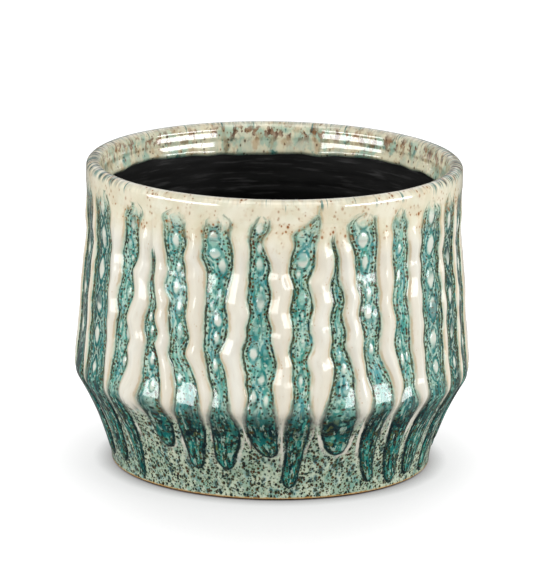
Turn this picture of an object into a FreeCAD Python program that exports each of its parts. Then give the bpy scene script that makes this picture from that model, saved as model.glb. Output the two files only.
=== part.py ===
import FreeCAD, Part
import math
import os
import Sketcher
from FreeCAD import Placement, Rotation, Vector

# A cachepot: a turned stoneware pot with a low shoulder. Raised zigzag ridges and columns of
# lens-shaped beads cover the upper wall, thick glaze runs hang from the shoulder over the drawn-in
# lower wall, and the inside is lined in black. The origin is the centre of the foot, +Z is up.

DOCUMENT = FreeCAD.newDocument("Cachepot")

# Sizes in millimetres, counts, and shares of a size.
SIZES = {
    # The turned body.
    "pot_height": 123.0,
    "shoulder_radius": 78.0,
    "shoulder_height": 38.3,
    "waist_inset": 5.8,
    "rim_flare": 2.2,
    "band_depth": 9.0,
    "lower_curve": 105.0,
    "lower_curve_drop": 19.0,
    "wall": 4.6,
    "foot_height": 5.0,
    "foot_edge": 1.2,
    "foot_ring": 8.0,
    "foot_recess": 3.0,
    "recess_draft": 1.5,
    "floor": 5.0,
    "floor_corner": 7.0,
    # The coats.
    "glaze_coat": 0.7,
    "lining_coat": 0.6,
    "bare_foot": 1.6,
    "glaze_line_depth": 3.5,
    # The ridges.
    "ridge_pairs": 16,
    "first_ridge": 2.9,
    "ridge_width": 5.6,
    "ridge_crest": 2.4,
    "ridge_rise": 1.5,
    "ridge_tail": 15.0,
    "zigzag_swing": 1.2,
    # The beads.
    "bead_width": 3.8,
    "bead_crest": 1.5,
    "bead_rise": 1.3,
    "bead_gap": 1.6,
    # The glaze runs.
    "run_width": 8.6,
    "run_thickness": 1.1,
    "run_feather": 0.25,
    "run_climb": 9.0,
    "run_tip": 0.8,
}

# How high the waist lies between the shoulder and the plain band.
WAIST_SHARE = 0.75

# How small a ridge or a bead is at its ends, and a ridge's tail halfway, as a share of its section.
TIP_SHARE = 0.1
TAIL_MIDDLE_SHARE = 0.6

# The zigzag turns between the shoulder and the waist, and between the waist and the plain band.
TURNS_TO_WAIST = 6
TURNS_TO_BAND = 2

# The glaze runs of one half, in order round the pot: where each one's end lies as a share of the
# shoulder's height, and how wide it is there as a share of its width at the shoulder. The other half
# repeats them.
HALVES = 2
RUN_END_SHARES = (0.35, 0.12, 0.12, 0.08, 0.52, 0.31, 0.34, 0.52, 0.13, 0.53, 0.20, 0.05, 0.11, 0.07, 0.42, 0.28)
RUN_TAPER_SHARES = (0.7, 0.85, 0.9, 0.75, 0.6, 0.85, 0.9, 0.75, 0.65, 0.55, 0.85, 0.95, 0.8, 0.85, 0.65, 0.75)
RUN_TOP_SHARE = 0.6
RUN_CREST_SHARE = 0.55
RUN_BULB_SHARE = 1.3
RUN_STEPS = 3
RUN_END_ANGLE = 45


def make_sheet():
    """Put every size in a spreadsheet cell with its name as the alias."""
    sheet = DOCUMENT.addObject("Spreadsheet::Sheet", "Sizes")
    for row, (name, value) in enumerate(SIZES.items(), start=1):
        sheet.set(f"A{row}", name)
        sheet.set(f"B{row}", str(value))
        sheet.setAlias(f"B{row}", name)
    DOCUMENT.recompute()
    return sheet


SHEET = make_sheet()


def value_of(expression):
    """The number that an expression on the sheet's sizes has now."""
    return SHEET.evalExpression(expression)


def size(name):
    """The expression that reads one size from the sheet."""
    return f"Sizes.{name}"


BAND_HEIGHT = f"({size('pot_height')} - {size('band_depth')})"
WAIST_HEIGHT = f"({size('shoulder_height')} + ({BAND_HEIGHT} - {size('shoulder_height')}) * {WAIST_SHARE})"
WAIST_RADIUS = f"({size('shoulder_radius')} - {size('waist_inset')})"
RIM_RADIUS = f"({WAIST_RADIUS} + {size('rim_flare')})"
LIP_RADIUS = f"({size('wall')} / 2 + {size('glaze_coat')})"
LIP_HEIGHT = f"({size('pot_height')} - {LIP_RADIUS})"
FLOOR_TOP = f"({size('foot_recess')} + {size('floor')})"
INNER_START = f"({FLOOR_TOP} + {size('floor_corner')})"
GLAZE_LINE = f"({BAND_HEIGHT} - {size('glaze_line_depth')})"
RIDGE_COUNT = f"({HALVES} * {size('ridge_pairs')})"
PITCH = f"(360 / {RIDGE_COUNT})"


def lower_wall(height):
    """Radius of the clay on the hollow curve below the shoulder, as an expression of a height."""
    drop = size("lower_curve_drop")
    curve = size("lower_curve")
    at_shoulder = f"sqrt({curve}^2 - ({size('shoulder_height')} + {drop})^2)"
    return f"({size('shoulder_radius')} + {at_shoulder} - sqrt({curve}^2 - ({height} + {drop})^2))"


def upper_wall(height):
    """Radius of the clay on the straight cone from the shoulder to the waist."""
    slope = (f"(({WAIST_RADIUS} - {size('shoulder_radius')})"
             f" / ({WAIST_HEIGHT} - {size('shoulder_height')}))")
    return f"({size('shoulder_radius')} + {slope} * ({height} - {size('shoulder_height')}))"


def flared_wall(height):
    """Radius of the clay on the cone that flares from the waist to the plain band."""
    slope = (f"(({RIM_RADIUS} - {WAIST_RADIUS})"
             f" / ({BAND_HEIGHT} - {WAIST_HEIGHT}))")
    return f"({WAIST_RADIUS} + {slope} * ({height} - {WAIST_HEIGHT}))"


def new_body(name):
    """An empty body whose label names the piece."""
    body = DOCUMENT.addObject("PartDesign::Body", name)
    body.Label = name
    body.Placement = Placement()
    body.AllowCompound = True
    return body


def origin_part(body, role):
    """A plane or an axis of the body's own origin."""
    return next(part for part in body.Origin.OriginFeatures if part.Role == role)


def new_sketch(body, name, role):
    """A sketch on one of the body's own origin planes."""
    sketch = body.newObject("Sketcher::SketchObject", name)
    sketch.AttachmentSupport = [(origin_part(body, role), "")]
    sketch.MapMode = "FlatFace"
    return sketch


def hold(sketch, kind, where, expression):
    """Add one dimension to a sketch and bind it to the sheet."""
    index = sketch.addConstraint(Sketcher.Constraint(kind, *where, value_of(expression)))
    sketch.setExpression(f"Constraints[{index}]", expression)


def arc_middle(start, end, radius, side):
    """The middle point of the arc of a radius that bulges to one side of its chord."""
    chord = end - start
    sagitta = radius - math.sqrt(radius ** 2 - chord.Length ** 2 / 4)
    across = Vector(chord.y, -chord.x, 0).normalize()
    return (start + end) / 2 + across * sagitta * side


def closed_outline(sketch, corners):
    """Draw a closed outline. A corner is (across, up) or (across, up, radius, side), where the last
    two make the stretch from this corner to the next an arc that bulges right (1) or left (-1)."""
    points = [Vector(value_of(corner[0]), value_of(corner[1]), 0) for corner in corners]
    count = len(corners)
    first = [1] * count
    for index, corner in enumerate(corners):
        start = points[index]
        end = points[(index + 1) % count]
        if len(corner) == 2:
            sketch.addGeometry(Part.LineSegment(start, end))
            continue
        # An arc is drawn anticlockwise, so one that bulges left starts at its second corner.
        middle = arc_middle(start, end, value_of(corner[2]), corner[3])
        if corner[3] > 0:
            sketch.addGeometry(Part.Arc(start, middle, end))
        else:
            sketch.addGeometry(Part.Arc(end, middle, start))
            first[index] = 2
    for index, corner in enumerate(corners):
        following = (index + 1) % count
        last = 3 - first[index]
        sketch.addConstraint(Sketcher.Constraint("Coincident", index, last, following, first[following]))
        hold_point(sketch, index, first[index], corner)
        if len(corner) > 2:
            hold(sketch, "Radius", (index,), corner[2])


def hold_point(sketch, index, end, corner):
    """Fix one end of an edge by its two distances from the sketch's origin."""
    for kind, axis, expression in (("DistanceX", -2, corner[0]), ("DistanceY", -1, corner[1])):
        if expression == "0":
            sketch.addConstraint(Sketcher.Constraint("PointOnObject", index, end, axis))
        else:
            hold(sketch, kind, (-1, 1, index, end), expression)


def turned(name, corners):
    """A piece turned about Z from its half section: distance from the axis across, height up."""
    body = new_body(name)
    sketch = new_sketch(body, name + "_section", "XZ_Plane")
    closed_outline(sketch, corners)
    turn = body.newObject("PartDesign::Revolution", name + "_turn")
    turn.Profile = sketch
    turn.ReferenceAxis = (sketch, ["V_Axis"])
    turn.Angle = 360
    return body


def moved(corner, amount):
    """The same corner a radial distance further out."""
    return (f"{corner[0]} + {amount}", *corner[1:])


def inner_corners():
    """The clay's inside from the waist down to the floor corner, with its arcs."""
    wall = size("wall")
    return [(f"{WAIST_RADIUS} - {wall}", WAIST_HEIGHT),
            (f"{size('shoulder_radius')} - {wall}", size("shoulder_height"), size("lower_curve"), 1),
            (f"{lower_wall(INNER_START)} - {wall}", INNER_START, size("floor_corner"), -1),
            (f"{lower_wall(INNER_START)} - {wall} - {size('floor_corner')}", FLOOR_TOP)]


def lip_bevels():
    """The clay's top under the round glazed lip, from the outside in: half of a regular octagon."""
    wall = size("wall")
    top = f"{LIP_HEIGHT} + {wall} / 2"
    bevel = f"{wall} / 2 * tan(45 / 2)"
    middle = f"{RIM_RADIUS} - {wall} / 2"
    return [(f"{RIM_RADIUS}", f"{top} - {wall} / 2 + {bevel}"),
            (f"{middle} + {bevel}", top),
            (f"{middle} - {bevel}", top),
            (f"{RIM_RADIUS} - {wall}", f"{top} - {wall} / 2 + {bevel}")]


def clay_body():
    """The turned pot: foot ring with a recess under it, hollow lower wall, shoulder, waist and lip."""
    foot = lower_wall(size("foot_height"))
    edge = size("foot_edge")
    rim = RIM_RADIUS
    wall = size("wall")
    recess = f"{foot} - {size('foot_ring')}"
    return turned("clay_body", [
        (f"{foot} - {edge}", "0", edge, 1),
        (foot, edge),
        (foot, size("foot_height"), size("lower_curve"), -1),
        (size("shoulder_radius"), size("shoulder_height")),
        (WAIST_RADIUS, WAIST_HEIGHT),
        (rim, BAND_HEIGHT),
        (rim, LIP_HEIGHT),
        *lip_bevels(),
        (f"{rim} - {wall}", LIP_HEIGHT),
        (f"{rim} - {wall}", BAND_HEIGHT),
        *inner_corners(),
        ("0", FLOOR_TOP),
        ("0", size("foot_recess")),
        (f"{recess} - {size('recess_draft')}", size("foot_recess")),
        (recess, "0"),
    ])


def base_glaze():
    """The coat on the hollow lower wall, from just above the foot up to the shoulder."""
    foot = lower_wall(size("foot_height"))
    coat = size("glaze_coat")
    return turned("base_glaze", [
        (foot, size("bare_foot")),
        (f"{foot} + {coat}", size("bare_foot")),
        (f"{foot} + {coat}", size("foot_height"), size("lower_curve"), -1),
        (f"{size('shoulder_radius')} + {coat}", size("shoulder_height")),
        (size("shoulder_radius"), size("shoulder_height"), size("lower_curve"), 1),
        (foot, size("foot_height")),
    ])


def wall_glaze():
    """The coat on the upper wall, from the shoulder to the plain band, that the relief stands on."""
    outside = [(size("shoulder_radius"), size("shoulder_height")),
               (WAIST_RADIUS, WAIST_HEIGHT),
               (RIM_RADIUS, BAND_HEIGHT)]
    return turned("wall_glaze", outside[::-1] + [moved(corner, size("glaze_coat")) for corner in outside])


def rim_glaze():
    """The coat over the lip, from the plain band outside down to the glaze line inside."""
    coat = size("glaze_coat")
    wall = size("wall")
    rim = RIM_RADIUS
    top = f"{rim} - {wall} / 2"
    inside = f"{flared_wall(GLAZE_LINE)} - {wall}"
    return turned("rim_glaze", [
        (f"{rim} + {coat}", BAND_HEIGHT),
        (f"{rim} + {coat}", LIP_HEIGHT, LIP_RADIUS, 1),
        (top, size("pot_height"), LIP_RADIUS, 1),
        (f"{rim} - {wall} - {coat}", LIP_HEIGHT),
        (f"{rim} - {wall} - {coat}", BAND_HEIGHT),
        (f"{inside} - {coat}", GLAZE_LINE),
        (inside, GLAZE_LINE),
        (f"{rim} - {wall}", BAND_HEIGHT),
        (f"{rim} - {wall}", LIP_HEIGHT),
        *lip_bevels()[::-1],
        (rim, LIP_HEIGHT),
        (rim, BAND_HEIGHT),
    ])


def black_lining():
    """The matte coat on the inner wall and the floor, up to the glaze line."""
    wall = size("wall")
    coat = size("lining_coat")
    inside = f"{flared_wall(GLAZE_LINE)} - {wall}"
    waist, shoulder, side, floor = inner_corners()
    return turned("black_lining", [
        (inside, GLAZE_LINE),
        waist, shoulder, side, floor,
        ("0", FLOOR_TOP),
        ("0", f"{FLOOR_TOP} + {coat}"),
        (floor[0], f"{FLOOR_TOP} + {coat}", f"{size('floor_corner')} - {coat}", 1),
        (f"{side[0]} - {coat}", side[1], size("lower_curve"), -1),
        (f"{shoulder[0]} - {coat}", shoulder[1]),
        (f"{waist[0]} - {coat}", waist[1]),
        (f"{inside} - {coat}", GLAZE_LINE),
    ])


def relief_section(body, name, height, turn, ground, shape, round_foot=False):
    """A level section of a raised piece: a trapezoid whose foot lies on the ground, flat on a narrow
    piece and round on a broad one. Its shape is the width at its foot, the width of its crest and
    how far it rises, as expressions."""
    width, crest, rise = shape
    sketch = new_sketch(body, name, "XY_Plane")
    up = Vector(0, 0, 1)
    sketch.AttachmentOffset = Placement(up * value_of(height), Rotation(up, value_of(turn)))
    sketch.setExpression("AttachmentOffset.Base.z", height)
    sketch.setExpression("AttachmentOffset.Rotation.Angle", turn)
    seat = f"sqrt(({ground})^2 - ({width})^2 / 4)" if round_foot else ground
    foot_arc = (ground, -1) if round_foot else ()
    closed_outline(sketch, [
        (seat, f"-{width} / 2"),
        (f"{ground} + {rise}", f"-{crest} / 2"),
        (f"{ground} + {rise}", f"{crest} / 2"),
        (seat, f"{width} / 2", *foot_arc),
    ])
    return sketch


def scaled_shape(shape, share):
    """The same trapezoid, smaller, so that the faces between the two stay flat."""
    return tuple(f"{measure} * {share}" for measure in shape)


def lofted(body, name, sections):
    """A solid with straight runs from each section to the next."""
    loft = body.newObject("PartDesign::AdditiveLoft", name)
    loft.Profile = sections[0]
    loft.Sections = sections[1:]
    loft.Ruled = True
    return loft


def round_the_pot(body, name, originals, count):
    """Repeat features evenly about the axis and make the pattern the body's tip."""
    pattern = body.newObject("PartDesign::PolarPattern", name)
    pattern.Originals = originals
    pattern.Axis = (origin_part(body, "Z_Axis"), [""])
    pattern.Angle = 360
    pattern.setExpression("Occurrences", count)
    body.Tip = pattern
    return pattern


def wall_levels():
    """The heights where the ridges turn, each with the clay's radius there, shoulder to band."""
    shoulder = size("shoulder_height")
    waist = WAIST_HEIGHT
    band = BAND_HEIGHT
    levels = []
    for turn in range(TURNS_TO_WAIST):
        height = f"({shoulder} + ({waist} - {shoulder}) * {turn} / {TURNS_TO_WAIST})"
        levels.append((height, upper_wall(height)))
    for turn in range(TURNS_TO_BAND + 1):
        height = f"({waist} + ({band} - {waist}) * {turn} / {TURNS_TO_BAND})"
        levels.append((height, flared_wall(height)))
    return levels


def wall_ridges():
    """The raised ridges: each zigzags up the wall, fades into the band and tails off below."""
    body = new_body("wall_ridges")
    coat = size("glaze_coat")
    full = (size("ridge_width"), size("ridge_crest"), size("ridge_rise"))
    tip = scaled_shape(full, TIP_SHARE)
    first = size("first_ridge")
    tail = f"({size('shoulder_height')} - {size('ridge_tail')})"
    half_tail = f"({size('shoulder_height')} - {size('ridge_tail')} / 2)"
    sections = [
        relief_section(body, "ridge_tail_tip", tail, first, f"{lower_wall(tail)} + {coat}", tip),
        relief_section(body, "ridge_tail_middle", half_tail, first, f"{lower_wall(half_tail)} + {coat}",
                       scaled_shape(full, TAIL_MIDDLE_SHARE)),
    ]
    levels = wall_levels()
    for index, (height, ground) in enumerate(levels):
        # A ridge crosses the shoulder unturned and swings to one side and the other above it.
        side = (-1) ** (index + 1) if index else 0
        shape = tip if index == len(levels) - 1 else full
        turn = f"{first} + {side} * {size('zigzag_swing')}"
        sections.append(relief_section(body, f"ridge_level_{index}", height, turn, f"{ground} + {coat}", shape))
    ridge = lofted(body, "ridge", sections)
    round_the_pot(body, "ridges_round_the_pot", [ridge], RIDGE_COUNT)
    return body


def wall_beads():
    """The lens-shaped beads: a column in each channel, one bead to each stretch of the zigzag."""
    body = new_body("wall_beads")
    coat = size("glaze_coat")
    full = (size("bead_width"), size("bead_crest"), size("bead_rise"))
    tip = scaled_shape(full, TIP_SHARE)
    channel = f"{size('first_ridge')} + {PITCH} / 2"
    levels = wall_levels()
    beads = []
    # The lowest stretch is left to the glaze runs.
    for index in range(1, len(levels) - 1):
        low, low_ground = levels[index]
        high, high_ground = levels[index + 1]
        middle = f"({low} + {high}) / 2"
        bottom = f"{low} + {size('bead_gap')} / 2"
        top = f"{high} - {size('bead_gap')} / 2"
        share = f"({size('bead_gap')} / 2 / ({high} - {low}))"
        bottom_ground = f"{low_ground} + ({high_ground} - {low_ground}) * {share} + {coat}"
        top_ground = f"{high_ground} - ({high_ground} - {low_ground}) * {share} + {coat}"
        sections = [
            relief_section(body, f"bead_{index}_bottom", bottom, channel, bottom_ground, tip),
            relief_section(body, f"bead_{index}_middle", middle, channel,
                           f"({low_ground} + {high_ground}) / 2 + {coat}", full),
            relief_section(body, f"bead_{index}_top", top, channel, top_ground, tip),
        ]
        beads.append(lofted(body, f"bead_{index}", sections))
    round_the_pot(body, "beads_round_the_pot", beads, RIDGE_COUNT)
    return body


def run_levels(index):
    """The level sections of one tongue from its round end up: height, ground radius, and shape."""
    shoulder = size("shoulder_height")
    foot = size("foot_height")
    thick = size("run_thickness")
    half_end = f"({size('run_width')} * {RUN_TAPER_SHARES[index % len(RUN_TAPER_SHARES)]} / 2)"
    end = f"({shoulder} * {RUN_END_SHARES[index % len(RUN_END_SHARES)]})"
    widest = f"({end} + {half_end})"
    levels = [(end, size("run_tip"), f"{size('run_tip')} / 2")]
    levels.append((f"({end} + {half_end} * (1 - cos({RUN_END_ANGLE})))",
                   f"2 * {half_end} * sin({RUN_END_ANGLE})",
                   f"{thick} * {RUN_BULB_SHARE} * sqrt(sin({RUN_END_ANGLE}))"))
    for step in range(RUN_STEPS + 1):
        share = f"{step} / {RUN_STEPS}"
        levels.append((f"({widest} + ({shoulder} - {widest}) * {share})",
                       f"(2 * {half_end} + ({size('run_width')} - 2 * {half_end}) * {share})",
                       f"{thick} * ({RUN_BULB_SHARE} + (1 - {RUN_BULB_SHARE}) * {share})"))
    top = f"({shoulder} + {size('run_climb')})"
    levels.append((top, f"{size('run_width')} * {RUN_TOP_SHARE}", size("run_feather")))
    return [(height, upper_wall(height) if height is top else lower_wall(f"max({height}; {foot})"),
             (width, f"{width} * {RUN_CREST_SHARE}", rise)) for height, width, rise in levels]


def glaze_runs():
    """The thick tongues of glaze that hang from the shoulder, one in each channel."""
    body = new_body("glaze_runs")
    coat = size("glaze_coat")
    tongues = []
    for index in range(int(value_of(size("ridge_pairs")))):
        channel = f"{size('first_ridge')} - 180 + {PITCH} * ({index} + 1 / 2)"
        sections = [
            relief_section(body, f"run_{index}_level_{number}", height, channel, f"{ground} + {coat}",
                           shape, round_foot=True)
            for number, (height, ground, shape) in enumerate(run_levels(index))
        ]
        tongues.append(lofted(body, f"run_{index}", sections))
    round_the_pot(body, "runs_round_the_pot", tongues, str(HALVES))
    return body


def check(pieces):
    """Stop if anything in the document failed or a piece has no sound solid."""
    for item in DOCUMENT.Objects:
        if "Invalid" in item.State or "Error" in item.State:
            raise RuntimeError(f"{item.Label} did not build: {item.State}")
    for piece in pieces:
        shape = piece.Shape
        if shape.isNull() or not shape.isValid() or not shape.Solids:
            raise RuntimeError(f"{piece.Label} has no sound solid")


def main():
    pieces = [clay_body(), base_glaze(), wall_glaze(), rim_glaze(), black_lining(),
              wall_ridges(), wall_beads(), glaze_runs()]
    DOCUMENT.recompute()
    check(pieces)
    os.makedirs("parts", exist_ok=True)
    for piece in pieces:
        piece.Shape.exportStep(f"parts/{piece.Label}.step")
        print(piece.Label, len(piece.Shape.Solids), "solids", round(piece.Shape.Volume), "mm3",
              piece.Shape.BoundBox)


main()
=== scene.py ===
"""A glazed cachepot: zigzag cream ridges over teal glaze that runs down a speckled celadon base.

The clay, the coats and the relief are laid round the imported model. The script is laid out as an
add-on and is run as a script.
"""
import math

import bpy
import numpy as np
from bpy.props import FloatProperty, FloatVectorProperty, IntProperty, PointerProperty
from mathutils import Matrix, Vector


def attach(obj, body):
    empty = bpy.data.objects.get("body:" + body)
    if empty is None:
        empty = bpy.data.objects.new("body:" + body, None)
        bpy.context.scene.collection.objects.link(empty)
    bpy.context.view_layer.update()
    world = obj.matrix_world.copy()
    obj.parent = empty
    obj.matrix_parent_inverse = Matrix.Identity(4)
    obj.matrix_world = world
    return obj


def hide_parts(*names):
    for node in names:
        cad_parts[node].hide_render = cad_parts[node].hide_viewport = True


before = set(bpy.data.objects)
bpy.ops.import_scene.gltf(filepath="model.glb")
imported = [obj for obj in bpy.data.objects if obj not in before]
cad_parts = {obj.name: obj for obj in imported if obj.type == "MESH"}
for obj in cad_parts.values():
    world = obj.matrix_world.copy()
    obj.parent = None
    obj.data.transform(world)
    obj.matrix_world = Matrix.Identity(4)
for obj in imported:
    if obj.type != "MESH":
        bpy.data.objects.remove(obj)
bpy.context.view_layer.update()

bl_info = {
    "name": "Cachepot glazes",
    "version": (1, 0, 0),
    "blender": (4, 5, 0),
    "location": "3D View > Sidebar > Cachepot",
    "description": "Lays reactive glazes, their relief and a studio round the packed cachepot",
    "category": "Object",
}

MM = 0.001

# Nodes that are used often, each with its settings.
PLUS, MINUS, TIMES, OVER, SCALED = (
    ("ShaderNodeMath", {"operation": name}) for name in ("ADD", "SUBTRACT", "MULTIPLY", "DIVIDE", "MULTIPLY_ADD"))
LEAST, MOST, BELOW, ABOVE, POWER_OF_E = (
    ("ShaderNodeMath", {"operation": name}) for name in ("MINIMUM", "MAXIMUM", "LESS_THAN", "GREATER_THAN", "EXPONENT"))
RAMP = ("ShaderNodeMapRange", {"interpolation_type": "SMOOTHSTEP"})
BLEND = ("ShaderNodeMix", {"data_type": "RGBA"})
# Inputs that turn a ramp into a fall from 1 to 0.
FALLING = {"To_Min": 1.0, "To_Max": 0.0}
# Heights in millimetres between which one look of the glaze gives way to another.
CREAM_FADES, RUNS_FADE, STAINS_FADE, WARMER, SOFTER, WASHED, RUSTY = (
    {"From_Min": low, "From_Max": high} for low, high in
    ((30.0, 39.0), (33.0, 47.0), (34.0, 44.0), (98.0, 112.0), (100.0, 113.0), (102.0, 117.0), (113.0, 120.0)))

# The clay's outline, in millimetres, as the part's source turns it.
FOOT_EDGE = 0.9
SHOULDER = 38.3
WAIST = 95.075
BAND = 114.0
LIP = 120.0
TOP = 123.0
SHOULDER_RADIUS = 78.0
WAIST_RADIUS = 72.2
RIM_RADIUS = 74.4
COAT = 0.7
LINING = 0.6
WALL = 4.6
LIP_ROUND = 3.0
CURVE = 105.0
CURVE_DROP = 19.0
FLOOR = 8.0
FLOOR_CORNER = 7.0
GLAZE_LINE = 110.5
# The furthest that the glaze reaches from the axis.
REACH = 80.12
# The plain cylinder on which the glaze's patterns are laid.
PLAIN_RADIUS = 75.0

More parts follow.
